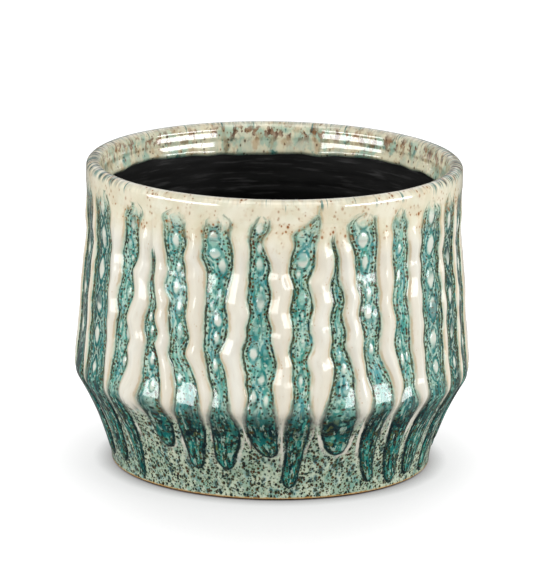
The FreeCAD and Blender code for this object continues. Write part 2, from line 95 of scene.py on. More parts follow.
# The channels of teal glaze on the front, in order from left to right: (height, left edge, right
# edge), heights in millimetres and edges in degrees round the pot from its front. Under the
# shoulder a channel goes on as a run of glaze, and its last row is the run's end.
CHANNELS = (
    ((116, -93.7, -87.8), (104, -94.2, -87.8), (92, -93.2, -87.4), (80, -94.2, -88), (68, -93.6, -87.4),
     (56, -94.2, -87.8), (44, -93.2, -86.8), (36, -94.2, -86.4), (20, -93.2, -87.2), (13, -92.2, -89.4)),
    ((117, -82.6, -74.2), (106, -83.2, -73.6), (100, -82.6, -74), (93, -83.6, -73.2), (86, -82.6, -73.8),
     (79, -83.6, -73), (72, -83, -73.6), (65, -83.6, -73), (58, -82.8, -73.2), (50, -83.6, -72.8), (42, -83.2, -72.2),
     (36, -84, -71.4), (22, -82.6, -70.8), (8, -80.6, -71.6), (5, -78.6, -73.2)),
    ((117, -68, -60.2), (110, -69, -59.2), (104, -68.2, -59.6), (97, -69.4, -58.8), (91, -68.4, -59.4),
     (84, -69.4, -58.6), (78, -68.4, -59), (71, -69.2, -58.2), (65, -68.4, -58.6), (58, -69.2, -58),
     (50, -68.6, -58), (43, -69.4, -57.6), (36, -69.6, -57), (24, -68.2, -57.4), (12, -66.2, -58.6), (6, -64.6, -60.2)),
    ((118, -47.5, -42.3), (115, -48.9, -42.3), (112, -50.2, -42.9), (110, -50.9, -43.8), (106, -50.6, -44.6),
     (103, -50.7, -44.8), (100, -51.3, -44.6), (95, -52.8, -45.1), (91, -52, -46.4), (89, -52.1, -47.3),
     (86, -51.9, -46.7), (82, -52.4, -45.9), (79, -53.2, -46), (76, -53.4, -46.9), (73, -52.8, -47.8),
     (70, -52.1, -48.6), (68, -52.6, -48.2), (65, -53.2, -47), (62, -53.4, -46.5), (58, -53, -47.8),
     (54.5, -53.2, -46.9), (52.5, -53.5, -46.5), (49.5, -53.8, -47.4), (46, -54.1, -48.6), (43, -54.5, -49.7),
     (40, -54.9, -49.7), (37, -55.5, -49.3), (33, -55.7, -48.1), (27, -55.5, -47.5), (22, -54.3, -47.4),
     (18, -53.9, -48), (10, -53.3, -48.6), (5, -52.3, -49.5), (2.4, -51.5, -50.3)),
    ((101, -39.5, -38.7), (95, -39.4, -38.1), (90, -39.4, -38.2), (87, -39.9, -38.4), (84, -39.9, -37.8),
     (80, -39.3, -37), (77, -39.3, -36.5), (74, -40, -37.1), (72, -40.5, -37.1), (70, -40.7, -36.5),
     (67, -40.7, -35.6), (65, -40.2, -35.9), (62, -39.6, -36.9), (60, -39.9, -36.1), (57, -40.5, -35.2),
     (54, -40.6, -34.6), (50, -40.5, -34.2), (47, -40.4, -33.8), (44, -41.2, -33.6), (40, -42.3, -33.4),
     (36, -41.4, -32), (32, -40, -30.8), (28, -39.4, -31.2), (25, -38.9, -31.6), (21.5, -37.6, -32.4),
     (19.3, -35.6, -34)),
    ((117, -35.6, -27.2), (113, -35.6, -27), (110, -34.7, -27.4), (107, -34.8, -27), (104, -34.8, -26.7),
     (101, -34.6, -27.3), (98, -34, -28), (95, -33.9, -27.2), (92, -33.1, -27.1), (90, -33.5, -27.2),
     (87, -34, -26.3), (84, -33.9, -25.9), (82, -32.6, -25.9), (80, -31.8, -26.1), (77, -32.3, -26.4),
     (74, -32.1, -26.3), (71, -31.9, -25.5), (68, -31.7, -24.8), (65, -31.2, -25), (62, -31.5, -26),
     (60, -31.7, -26.2), (58, -31.6, -25.4), (55, -30, -23.8), (50, -29.2, -22), (45, -28.5, -21.2),
     (40, -28.7, -20.7), (37, -29.4, -20.2), (30, -29, -20), (26, -28.7, -20.3), (21, -28.4, -21.2),
     (16, -27.7, -22), (13, -26.6, -23.3), (11.5, -25.6, -24.4)),
    ((117, -21, -11.4), (115, -21, -11.7), (112, -20.8, -12.5), (110, -21.6, -13.1), (107, -21.9, -13),
     (104, -21.6, -12.2), (101, -21.9, -12), (99, -22.1, -12), (97, -21.4, -11.9), (94, -20.4, -12.1),
     (91, -20.1, -12.5), (88, -20.2, -13.2), (85, -20.2, -13.4), (82, -20.2, -13.9), (80, -20.2, -13.8),
     (77, -20.4, -13.2), (74, -20.2, -13), (71, -20.4, -13), (68, -20.2, -13.4), (65, -20.4, -14.3),
     (62, -20.3, -15.4), (60, -19.7, -15.2), (57, -19.3, -13.9), (54, -18.8, -13.2), (50, -17.8, -12.8),
     (47, -16.9, -12.4), (44, -16.8, -12.1), (40, -17.4, -11.7), (36, -18.5, -10), (33, -18.4, -9.2),
     (29, -18.2, -8.9), (24, -18.3, -9.5), (20, -18.4, -10.5), (16, -17.7, -11.6), (13.6, -16, -12.8),
     (12.5, -14.8, -13.6)),
    ((118, -6, -0.6), (115, -5.9, -0.4), (112, -6.7, -1.1), (110, -7.1, -1.9), (108, -7.5, -2.9), (106, -7.3, -3.4),
     (104, -7, -2.6), (101, -6.9, -1.9), (98, -7.1, -0.9), (95, -7.3, -0.7), (92, -7.3, -1.4), (90, -7.3, -1.1),
     (87, -7.5, -0.5), (84, -7.7, -0.3), (82, -7.5, -0.7), (80, -6.9, -1.1), (77, -6.7, -1.1), (75, -7.3, -0.5),
     (72, -7.7, 0.2), (69, -7.5, -0.4), (66, -8.2, 0), (63, -8.8, 0.8), (60, -8.6, 1.4), (57, -8, 1.4),
     (54, -7.4, 1), (51, -7.5, 0.4), (48, -7.1, 0.4), (45, -6.6, 0.8), (40, -7.3, 1.2), (37, -7.9, 1.8),
     (30, -7.3, 2.4), (26, -6.2, 2.5), (22, -4.2, 2.2), (20, -2.3, 1.6), (18.8, -0.6, 0.6)),
    ((130, 13, 14.8), (118, 12.2, 14.8), (115, 11, 14.2), (112, 8, 13.8), (110, 5.2, 13.5), (107, 6, 13),
     (105, 6.3, 12.5), (102, 5.4, 12.5), (100, 5, 12.6), (97, 4.8, 12.6), (94, 4.8, 11.8), (91, 5.6, 10.5),
     (89, 6.2, 10.6), (86, 6.1, 11.7), (83, 5.4, 12.2), (80, 5, 12), (77, 5.2, 11.6), (74, 5.8, 11), (71, 6, 11.4),
     (69, 6, 11.8), (66, 5.2, 12), (63, 5, 11.2), (61, 5.4, 10.3), (58, 6, 10.4), (55, 6, 11.2), (52, 6, 11.4),
     (49, 6.4, 11.2), (45, 6.2, 11), (40, 5.6, 11.4), (37, 4.2, 12.4), (30, 4, 12), (25, 4.6, 11.2),
     (20, 4.6, 10.6), (15, 4, 10), (10, 3.5, 9.9), (7, 4.2, 9.1), (5.2, 5.8, 7.4)),
    ((112, 18, 18.7), (107, 17.3, 18.4), (104, 17.6, 19), (101, 18.5, 19.7), (98, 18.7, 20), (95, 18.7, 20),
     (92, 18, 20), (90, 17.5, 20.2), (87, 17.4, 21.2), (84, 17.9, 22), (82, 18.3, 22), (80, 17.6, 21.6),
     (77, 17.2, 21), (74, 17, 21.4), (71, 17.5, 22.4), (68, 17.7, 22), (65, 17.3, 21.5), (62, 17.1, 22.5),
     (60, 17.6, 23.2), (57, 18.3, 23.9), (54, 18.3, 24.5), (51, 17.7, 24.7), (48, 17.3, 24.7), (45, 16.8, 24.9),
     (40, 15.2, 25.2), (36, 14.4, 26.1), (31, 15, 25.9), (26, 16.3, 25.5), (23, 17.8, 24.7), (20.5, 19.8, 23.4),
     (19, 21.3, 22.5)),
    ((118, 22.6, 32.4), (116, 22.6, 32.8), (113, 22.5, 31.9), (110, 22.5, 32), (108, 22.7, 32.6), (105, 23.5, 32.9),
     (103, 24.4, 32.8), (100, 24.8, 32.5), (97, 25.2, 32.8), (94, 25.7, 32.8), (91, 25.7, 32.5), (88, 25.9, 32.7),
     (86, 26.6, 33.2), (84, 27, 33.4), (82, 27, 33.1), (80, 26.6, 32.9), (77, 26.2, 33.1), (75, 26.4, 33.8),
     (72, 27.1, 33.8), (70, 27.7, 33.5), (67, 27.8, 33.1), (64, 27.7, 33), (61, 27.7, 33), (58, 28.1, 33.5),
     (55, 28.4, 34.8), (52, 28.7, 36), (49, 29.4, 36.9), (46, 30.2, 37.4), (43, 30.6, 37.7), (40, 30, 37.8),
     (36, 29.3, 37.2), (33, 29.3, 36.6), (28, 29.3, 36.3), (24, 29.4, 36.3), (18, 30.2, 36.8), (13, 31.6, 37.6),
     (8, 34.2, 38), (4.8, 36.2, 37.4)),
    ((118, 38.7, 43.3), (112, 38.4, 43.3), (110, 38, 44.4), (107, 38.6, 43.8), (104, 38.5, 44.1), (101, 38.4, 44.8),
     (98, 38.6, 45.1), (95, 38.9, 45.1), (92, 39.3, 44.8), (90, 39.3, 45.2), (88, 39.3, 45.4), (85, 39, 44.9),
     (83, 38.5, 44.5), (80, 38.2, 44.1), (77, 38.6, 44.5), (74, 39.3, 44.8), (71, 39.4, 44.9), (68, 39, 44.9),
     (65, 38.5, 44.9), (62, 38.6, 44.9), (60, 39.1, 45.1), (57, 39.7, 45.5), (54, 40.4, 45.7), (51, 41, 46),
     (48, 41.5, 46.4), (45, 41.6, 45.8), (40, 40.2, 47.4), (37, 39, 48.6), (33, 39.2, 48.4), (28, 39.8, 48),
     (20, 40.3, 48), (12, 41.4, 48.9), (7, 43.2, 49.6), (3.6, 44.8, 49), (2.2, 46.2, 47.8)),
    ((118, 51, 58.6), (115, 50.8, 59.4), (112, 51.2, 60.4), (106, 50.4, 60), (102, 51.2, 61), (96, 50.6, 60.2),
     (92, 51.4, 61), (86, 50.6, 60.2), (80, 51.2, 61.2), (74, 50.6, 60.4), (68, 51.4, 61.4), (62, 50.8, 60.4),
     (56, 51.4, 61.2), (50, 51.2, 60.4), (44, 52, 60.8), (40, 52.2, 61.4), (37, 51.2, 61.8), (28, 50.2, 61.6),
     (20, 50.4, 61), (13, 51.4, 60.4), (8, 52.6, 59.8), (5, 54, 58.6), (3.8, 55, 57.4)),
    ((117, 64.4, 70.4), (108, 64, 71.4), (101, 65, 70.8), (94, 64, 71.8), (87, 65, 71), (80, 64.2, 72),
     (73, 65, 71), (66, 64.2, 72.2), (59, 65, 71.4), (51, 64.4, 72.4), (44, 65.2, 72), (37, 64.2, 73.4),
     (26, 64.4, 72.8), (12, 65, 72), (4, 66.4, 70.4), (2.2, 67.4, 69.4)),
    ((117, 76, 82), (108, 76.4, 82.4), (100, 75.6, 83.2), (92, 76.4, 82.4), (84, 75.6, 83), (76, 76.4, 82.4),
     (68, 75.6, 83), (60, 76.4, 82.2), (52, 75.6, 83), (44, 76.2, 82.6), (36, 75.6, 84), (26, 76.2, 83.6),
     (15, 77.4, 82), (11, 78.6, 81)),
    ((116, 86.6, 92), (106, 87.4, 91.4), (97, 86.4, 92.2), (88, 87.2, 91.4), (79, 86.4, 92.2), (70, 87.2, 91.4),
     (61, 86.4, 92.2), (52, 87.2, 91.4), (44, 86.6, 92), (36, 86, 92.6), (22, 87, 92), (9, 88.2, 90.8),
     (5.4, 88.8, 90.2)),
)

# The cream beads in the channels: (degrees round, height, width in degrees, length in millimetres).
BEADS = (
    (-47, 107.5, 2, 5), (-48.7, 98.5, 2.2, 6), (-47.6, 93.8, 1.6, 3), (-48, 80, 2, 6), (-47.2, 64, 2, 6.5),
    (-49.4, 58.5, 1.6, 3.5), (-48.2, 52.5, 1.9, 5), (-50.8, 66, 1.2, 4),
    (-38.5, 72.5, 1.3, 3), (-37.7, 67.2, 1.4, 4), (-37.2, 56, 1.8, 5.5), (-36.4, 46, 2, 5),
    (-30, 113.8, 4.4, 7), (-30.4, 104.5, 2.6, 7), (-32, 97.4, 1.4, 2.6), (-29.6, 93.8, 1.6, 4.5),
    (-30, 85.8, 2.2, 5.5), (-28.6, 77.4, 2.2, 6), (-28, 68.6, 2.2, 6.5), (-27.4, 50, 1.6, 4),
    (-18.2, 114.6, 3.4, 6), (-14.6, 113.4, 2, 5), (-18, 106.6, 3.6, 7), (-17.6, 101.2, 4, 4.5), (-15.3, 96.2, 2.6, 6),
    (-17.3, 88.6, 1.3, 3.6), (-15.4, 84, 1.8, 6.5), (-18, 80, 1.2, 3.2), (-16, 75, 2.5, 5), (-16.3, 68, 2, 5),
    (-16.4, 57.2, 1.7, 5),
    (-4.2, 112.3, 2.4, 6), (-4, 104.4, 1.9, 5), (-4, 97.6, 2.3, 6), (-3.4, 87.8, 1.3, 2.6), (-3.6, 83.2, 2.6, 8.5),
    (-4.7, 72, 1.7, 5), (-2.4, 75, 1.2, 4), (-5.3, 62.7, 2.5, 6), (-2, 62.7, 1.3, 5), (-2.8, 52.6, 2, 5),
    (-5, 45.4, 1.8, 6), (-1.4, 44.4, 1.5, 6),
    (8.2, 108.6, 2.5, 6), (8.8, 99.6, 3.8, 7), (7.6, 93.8, 1.6, 4), (8.8, 84.8, 2.6, 6), (8.8, 77.5, 1, 4),
    (9, 68, 1.2, 3.4), (8.5, 52.2, 1.4, 5),
    (19.9, 61, 1.5, 4.5), (21.4, 56, 1.5, 4), (21.8, 48, 1.8, 5.5),
    (27.4, 113.6, 3.4, 5.4), (27.6, 106, 3.8, 6.5), (28.6, 97.4, 2.4, 7), (28.5, 88.6, 1.5, 4), (29.8, 84.3, 1.9, 5.5),
    (29.3, 76.8, 2.7, 5.5), (31.9, 75, 1.7, 5.5), (30.2, 62, 1.8, 6),
    (40.5, 113.4, 2, 6), (41.2, 100.6, 1.8, 4), (41.2, 89, 1.2, 5), (40.7, 63, 1, 4), (41.6, 56.4, 1.3, 6),
    (43.4, 57.5, 1, 4),
    (55.4, 111, 3.4, 8), (55.8, 99, 3.8, 9), (55.6, 86, 4, 9), (56, 73.6, 3.8, 9), (55.8, 61, 3.6, 8), (56.4, 50, 3, 6),
    (-64, 110, 3.4, 8), (-63.8, 98, 3.6, 9), (-64.2, 85, 3.6, 9), (-63.6, 72, 3.6, 9), (-64, 59, 3.2, 8),
    (-63.4, 46, 2.4, 6), (-78.4, 106, 3, 8), (-78.2, 90, 3, 8), (-78.4, 74, 3, 8), (-78.2, 58, 3, 8),
    (67.6, 106, 2.6, 8), (67.8, 91, 2.8, 8), (67.6, 76, 2.6, 8), (68, 61, 2.6, 7), (68.4, 48, 2.2, 6),
    (79.2, 101, 2.6, 7), (79.4, 85, 2.6, 7), (79.2, 69, 2.4, 7), (79.4, 53, 2.2, 6),
    (89.2, 97, 2.2, 6), (89.4, 79, 2.2, 6), (89.2, 61, 2.2, 6), (-90.6, 104, 2.4, 6), (-90.4, 80, 2.4, 6),
    (-90.6, 56, 2.2, 6),
)

# How far down the cream tail between a channel and the next one reaches, in millimetres of height.
TAILS = (22, 23, 24, 25, 22, 22, 20, 20, 25, 20, 28, 22, 20, 22, 24, 22)

# Faint drips in the celadon under the runs: (degrees, top height, bottom height, half width in millimetres).
GHOSTS = ((-37.8, 20, 10.2, 1.7), (-28, 13, 9, 2.2), (-23.6, 13, 10, 1.4), (22.6, 20, 8.6, 1.6), (20.6, 12, 9.4, 1),
          (32.6, 16, 10.4, 2.2), (-14.4, 9.6, 5.6, 0.9), (-9.6, 9, 6, 0.8), (-19.2, 8.4, 5.4, 0.7), (15.6, 9, 5, 0.8),
          (28.4, 14, 8, 1.2), (46, 9, 3, 1.6), (-44, 20, 13, 1), (60, 16, 7, 1.3), (-56.4, 20, 9, 1.5))

# The heights at which the runs of the back end, in millimetres.
RUN_ENDS = (13, 4, 19, 11, 6, 20, 12, 5, 8, 19, 3, 12, 7, 16, 10, 5)
# Where the channels of the back begin and how far apart they are, in degrees, and their highest and
# lowest wavy rows, in millimetres.
BACK_START, BACK_PITCH = 102, 10.35
BACK_TOP, BACK_LOW = 117, 44
# The steps of the ladder of heights on which edges are kept, and the spans that close a channel above
# and below, in millimetres.
LADDER_STEP = 0.25
ARCH, TONGUE = 6.0, 7.0
SEED = 7

# The mesh of the coats: columns in a channel and in a ridge, rows of the lower and the upper wall.
IN_CHANNEL, IN_RIDGE = 14, 14
LOWER_ROWS, UPPER_ROWS = 54, 101
RIM_COLUMNS, LINING_COLUMNS = 720, 240
# How far the glaze inside the rim stands into the mouth at each height, in millimetres.
ROLL_HEIGHTS = (110.5, 111.3, 112, 116, 117, 119.6, 121)
ROLL_DEPTHS = (0.3, 1.1, 1.25, 0.45, 0.5, 0.05, 0)
# Rows of the rim's coat on the outside, round the lip and on the inside.
OUTSIDE_ROWS, LIP_ROWS, INSIDE_ROWS = 13, 25, 24

# The furthest depth and distance that the fields tell apart, and the step over which a slant is measured,
# in millimetres.
DEEPEST, FURTHEST = 6, 12
SLANT_STEP = 0.5

# The values that the nodes of the relief read from every point, and the sizes that they are told.
RELIEF_FIELDS = ("to_left", "to_right", "bead", "run", "ridge_share", "bead_share", "run_share", "even")
RELIEF_SIZES = ("Ridge Rise", "Ridge Softness", "Bead Rise", "Run Rise", "Ripple", "Ripple Length")

# The studio, in metres.
WHITE, PAPER = (1, 1, 1), (0.28, 0.28, 0.28)
FLOOR_REACH = 9.0
SIDE_LIGHT_HEIGHT = 0.21
POT_MIDDLE = (0, 0, 0.0615)
# The lens and the sensor in millimetres, and the lens in pixels of the photograph. The last two are the
# pixels where the photograph and the pot have their middles.
LENS_LENGTH, SENSOR_WIDTH, LENS_PIXELS = 312.61, 36, 4984.4
PHOTO_MIDDLE = (273, 287)
POT_IN_PHOTO = (272.8, 308.8)


def linear(text):
    """A hex sRGB colour as linear red, green and blue."""
    values = [int(text[i:i + 2], 16) / 255 for i in (1, 3, 5)]
    return tuple(v / 12.92 if v <= 0.04045 else ((v + 0.055) / 1.055) ** 2.4 for v in values)


def colour_property(name, text, description):
    """A colour setting whose default is a hex colour."""
    return FloatVectorProperty(name=name, description=description, subtype="COLOR", size=3, min=0, max=1,
                               default=linear(text))


def length_property(name, millimetres, description):
    """A length setting whose default is given in millimetres."""
    return FloatProperty(name=name, description=description, default=millimetres * MM, unit="LENGTH", precision=5)


class CachepotRelief(bpy.types.PropertyGroup):
    """Sizes of the glaze's relief."""
    ridge_rise: length_property("Ridge rise", 1.9, "How far a cream ridge stands out of the coat")
    ridge_softness: length_property("Ridge softness", 1.7, "How fast a ridge rises from its edge")
    bead_rise: length_property("Bead rise", 0.5, "How far a bead stands out of its channel")
    run_rise: length_property("Run rise", 0.85, "How thick a run of glaze is")
    ripple: length_property("Ripple", 0.2, "How uneven the glaze lies")
    ripple_length: length_property("Ripple length", 7, "The size of one ripple of the glaze")
    ring_rise: length_property("Turning rings", 0.16, "How deep the turning rings inside are")
    seed: IntProperty(name="Seed", description="Seed of the uneven lie of the glaze", default=SEED)


class CachepotColours(bpy.types.PropertyGroup):
    """Colours of the clay, the glazes and the slip."""
    cream: colour_property("Cream", "#e2dfd3", "Thick cream glaze on the ridges")
    ivory: colour_property("Ivory", "#ded8c8", "Cream glaze where it is thinner")
    mist: colour_property("Mist", "#b9d3c2", "Thinnest teal glaze, nearly clear")
    aqua: colour_property("Aqua", "#86bfae", "Thin bright teal glaze")
    teal: colour_property("Teal", "#3f9689", "Teal glaze in the channels")
    blue: colour_property("Blue", "#4f93a0", "Teal glaze where copper and cobalt gather")
    deep: colour_property("Deep teal", "#076a66", "Thick teal glaze")
    petrol: colour_property("Petrol", "#02171f", "Thickest teal at the edges and the ends of runs")
    celadon: colour_property("Celadon", "#9bb5a1", "Celadon glaze on the lower wall")
    sage: colour_property("Sage", "#c8d3bc", "Celadon glaze where it is thinner")
    olive: colour_property("Olive", "#7d8446", "Teal glaze stained by iron")
    ochre: colour_property("Ochre", "#b98f55", "Iron stain round the specks")
    straw: colour_property("Straw", "#f0eac8", "Cream glaze inside the rim")
    rust: colour_property("Rust", "#8a4f22", "Iron brown breaks at the lip")
    brown: colour_property("Brown", "#44210d", "Iron brown specks")
    black: colour_property("Black specks", "#100f10", "Dark specks in the glaze")
    slip: colour_property("Black slip", "#070707", "Matte slip inside")
    # The clay's colour is darkened so that the foot's thin band also stands for the contact shadow on the floor: partly
    # painted shade.
    clay: colour_property("Clay", "#6b4a2c", "Bare stoneware at the foot")


class CachepotStudio(bpy.types.PropertyGroup):
    """The studio round the pot."""
    distance: length_property("Camera distance", 2000, "From the camera to the pot's middle")
    elevation: FloatProperty(name="Camera elevation", description="Angle of the camera above the table",
                             default=math.radians(14.224), subtype="ANGLE")
    roll: FloatProperty(name="Camera roll", description="How far the camera leans", default=math.radians(0.878),
                        subtype="ANGLE")
    softbox_power: FloatProperty(name="Softbox power", description="Power of each side light", default=8.6,
                                 unit="POWER")
    ambient: FloatProperty(name="Ambient", description="Strength of the light from all round", default=0.36)


def outline(height):
    """The clay's outer radius at each height."""
    height = np.asarray(height, float)
    lower = (SHOULDER_RADIUS + math.sqrt(CURVE ** 2 - (SHOULDER + CURVE_DROP) ** 2)
             - np.sqrt(CURVE ** 2 - (np.clip(height, 5, SHOULDER) + CURVE_DROP) ** 2))
    upper = np.interp(height, (SHOULDER, WAIST, BAND, LIP), (SHOULDER_RADIUS, WAIST_RADIUS, RIM_RADIUS, RIM_RADIUS))
    return np.where(height < SHOULDER, lower, upper)


def glazed_outline(height):
    """The coat's outer radius, which rounds the clay's shoulder and its waist."""
    ladder = np.arange(-4, LIP + 4, 0.1)
    soft = smoothed(outline(np.clip(ladder, 0, LIP)), 15)
    # The glaze lies thicker round the waist, and thinner at the foot.
    waist = smooth_step(height, 56, 76) * (1 - smooth_step(height, 96, 113))
    return np.interp(height, ladder, soft) + COAT + 0.8 * waist - 0.45 * (1 - smooth_step(height, 1, 6))


def smooth_step(value, low, high):
    """0 below low, 1 above high, and smooth between them."""
    share = np.clip((np.asarray(value, float) - low) / (high - low), 0, 1)
    return share * share * (3 - 2 * share)


def apart(angle, other):
    """The turn from another angle to an angle, the short way round, in degrees."""
    return (angle - other + 180) % 360 - 180


def round_axis(radius, turn, height):
    """Points at radii, turns in radians and heights, in metres when the rest is in millimetres."""
    return np.stack([radius * np.sin(turn), -radius * np.cos(turn), height + 0 * turn], -1) * MM


def side_shade_share(turn):
    """How much the glaze at each turn in radians faces the pot's sides, where its teal is painted darker as shade."""
    return smooth_step(np.abs(np.sin(turn)), 0.74, 0.97)


def across_profile(profile):
    """The direction across a profile at each of its points, as columns for out and up."""
    step = np.gradient(profile, axis=0)
    across = np.stack([step[:, 1], -step[:, 0]], 1)
    across /= np.linalg.norm(across, axis=1, keepdims=True)
    return across[:, :1], across[:, 1:]


def lengths(profile):
    """How far each point of a profile is from its first one along it, as a column."""
    return np.concatenate([[0], np.cumsum(np.hypot(*np.diff(profile, axis=0).T))])[:, None]


def smoothed(values, width):
    """A row of values averaged with a bell of a width in samples."""
    reach = int(width * 3)
    bell = np.exp(-0.5 * (np.arange(-reach, reach + 1) / width) ** 2)
    padded = np.concatenate([np.full(reach, values[0]), values, np.full(reach, values[-1])])
    return np.convolve(padded, bell / bell.sum(), "valid")


def grown_channel(centre, width, end, source):
    """A channel for the back of the pot, and its beads, that wander as the front ones do."""
    half = width / 2
    height = BACK_TOP - source.uniform(0, 3)
    # Each row is a height, how far it drifts from the centre, and half its width.
    rows, beads = [(height, 0, half)], []
    height -= source.uniform(3, 5)
    while height > BACK_LOW:
        drift = source.uniform(-0.5, 0.5)
        rows.append((height, drift, half + source.uniform(0.3, 1)))
        beads.append((centre + drift, height, min(width * 0.4, 3.4) * source.uniform(0.7, 1.1), source.uniform(4, 7)))
        height -= source.uniform(4.5, 7)
        rows.append((height, drift, half - 0.4))
        height -= source.uniform(4.5, 6)
    lean = source.uniform(-1.5, 1.5)
    rows += [(37, 0, half + 1), ((37 + end) / 2, lean / 2, half), (end + 4, lean, half - 0.6),
             (end + 1.4, lean, half / 2), (end, lean, 0.5)]
    return tuple((height, centre + drift - wide, centre + drift + wide) for height, drift, wide in rows), beads


def all_channels():
    """Every channel round the pot in order, with the beads: the front listed, the back grown."""
    source = np.random.default_rng(SEED)
    channels, beads = list(CHANNELS), list(BEADS)
    for index, end in enumerate(RUN_ENDS):
        centre = BACK_START + BACK_PITCH * index + source.uniform(-0.7, 0.7)
        rows, more = grown_channel(centre, source.uniform(3.6, 6.2), end, source)
        channels.append(rows)
        beads += more
    return channels, np.array(beads)


class Guides:
    """The edges of every channel and run at a ladder of heights, and what is drawn from them."""

    def __init__(self):
        channels, self.beads = all_channels()
        self.count = len(channels)
        self.heights = np.arange(0, TOP + 0.1, LADDER_STEP)
        self.tops = np.array([rows[0][0] for rows in channels])
        self.ends = np.array([rows[-1][0] for rows in channels])
        tables = [np.array(rows[::-1]) for rows in channels]
        self.left, self.right = (
            np.array([smoothed(np.interp(self.heights, table[:, 0], table[:, side]), 3.2) for table in tables])
            for side in (1, 2))
        self.round_ends()
        self.round_tops()
        self.tails = np.append(TAILS, np.random.default_rng(SEED + 1).uniform(18, 28, len(RUN_ENDS)))

    def round_ends(self):
        """Close every run with a round tongue as wide as the run is a little higher."""
        for index, end in enumerate(self.ends):
            per_degree = math.radians(float(outline(end)))
            full = end + TONGUE
            half = np.interp(full, self.heights, self.right[index] - self.left[index]) / 2
            tip = min(half * per_degree * 1.15, 5.0)
            middle = (self.left[index] + self.right[index]) / 2
            low = self.heights < full
            share = np.clip((self.heights - end) / tip, 0, 1)
            own = (self.right[index] - self.left[index]) / 2
            narrow = np.interp(self.heights, (end, full), (0.8, 1.0)) * half
            wide = np.where(low, np.maximum(narrow, np.where(self.heights > end + tip, own, 0)), own)
            wide = wide * np.where(low, np.sqrt(np.maximum(1 - (1 - share) ** 2, 0)), 1)
            self.left[index], self.right[index] = middle - wide, middle + wide

    def round_tops(self):
        """Close every channel with a round arch under the plain band."""
        for index, top in enumerate(np.minimum(self.tops, BAND + 3.0)):
            full = top - ARCH
            half = np.interp(full, self.heights, self.right[index] - self.left[index]) / 2
            middle, own = (self.left[index] + self.right[index]) / 2, (self.right[index] - self.left[index]) / 2
            share = np.clip((self.heights - full) / (top - full), 0, 1)
            wide = np.where(share > 0, np.minimum(own, half * 1.1) * np.sqrt(1 - share ** 2.2), own)
            self.left[index], self.right[index] = middle - wide, middle + wide

    def edges(self, height):
        """The left and right edges of every channel at one height."""
        return tuple(np.array([np.interp(height, self.heights, row) for row in side])
                     for side in (self.left, self.right))

    def mesh_angles(self, height):
        """The angles of the mesh's columns at one height: they follow the channels, at least half a degree wide."""
        left, right = self.edges(height)
        middle, half = (left + right) / 2, (right - left) / 2
        half = np.sqrt(half ** 2 + 0.25)
        left, right = middle - half, middle + half
        after = np.append(left[1:], left[0] + 360)
        angles = []
        for index in range(self.count):
            angles.append(np.linspace(left[index], right[index], IN_CHANNEL, endpoint=False))
            angles.append(np.linspace(right[index], after[index], IN_RIDGE, endpoint=False))
        return np.concatenate(angles)


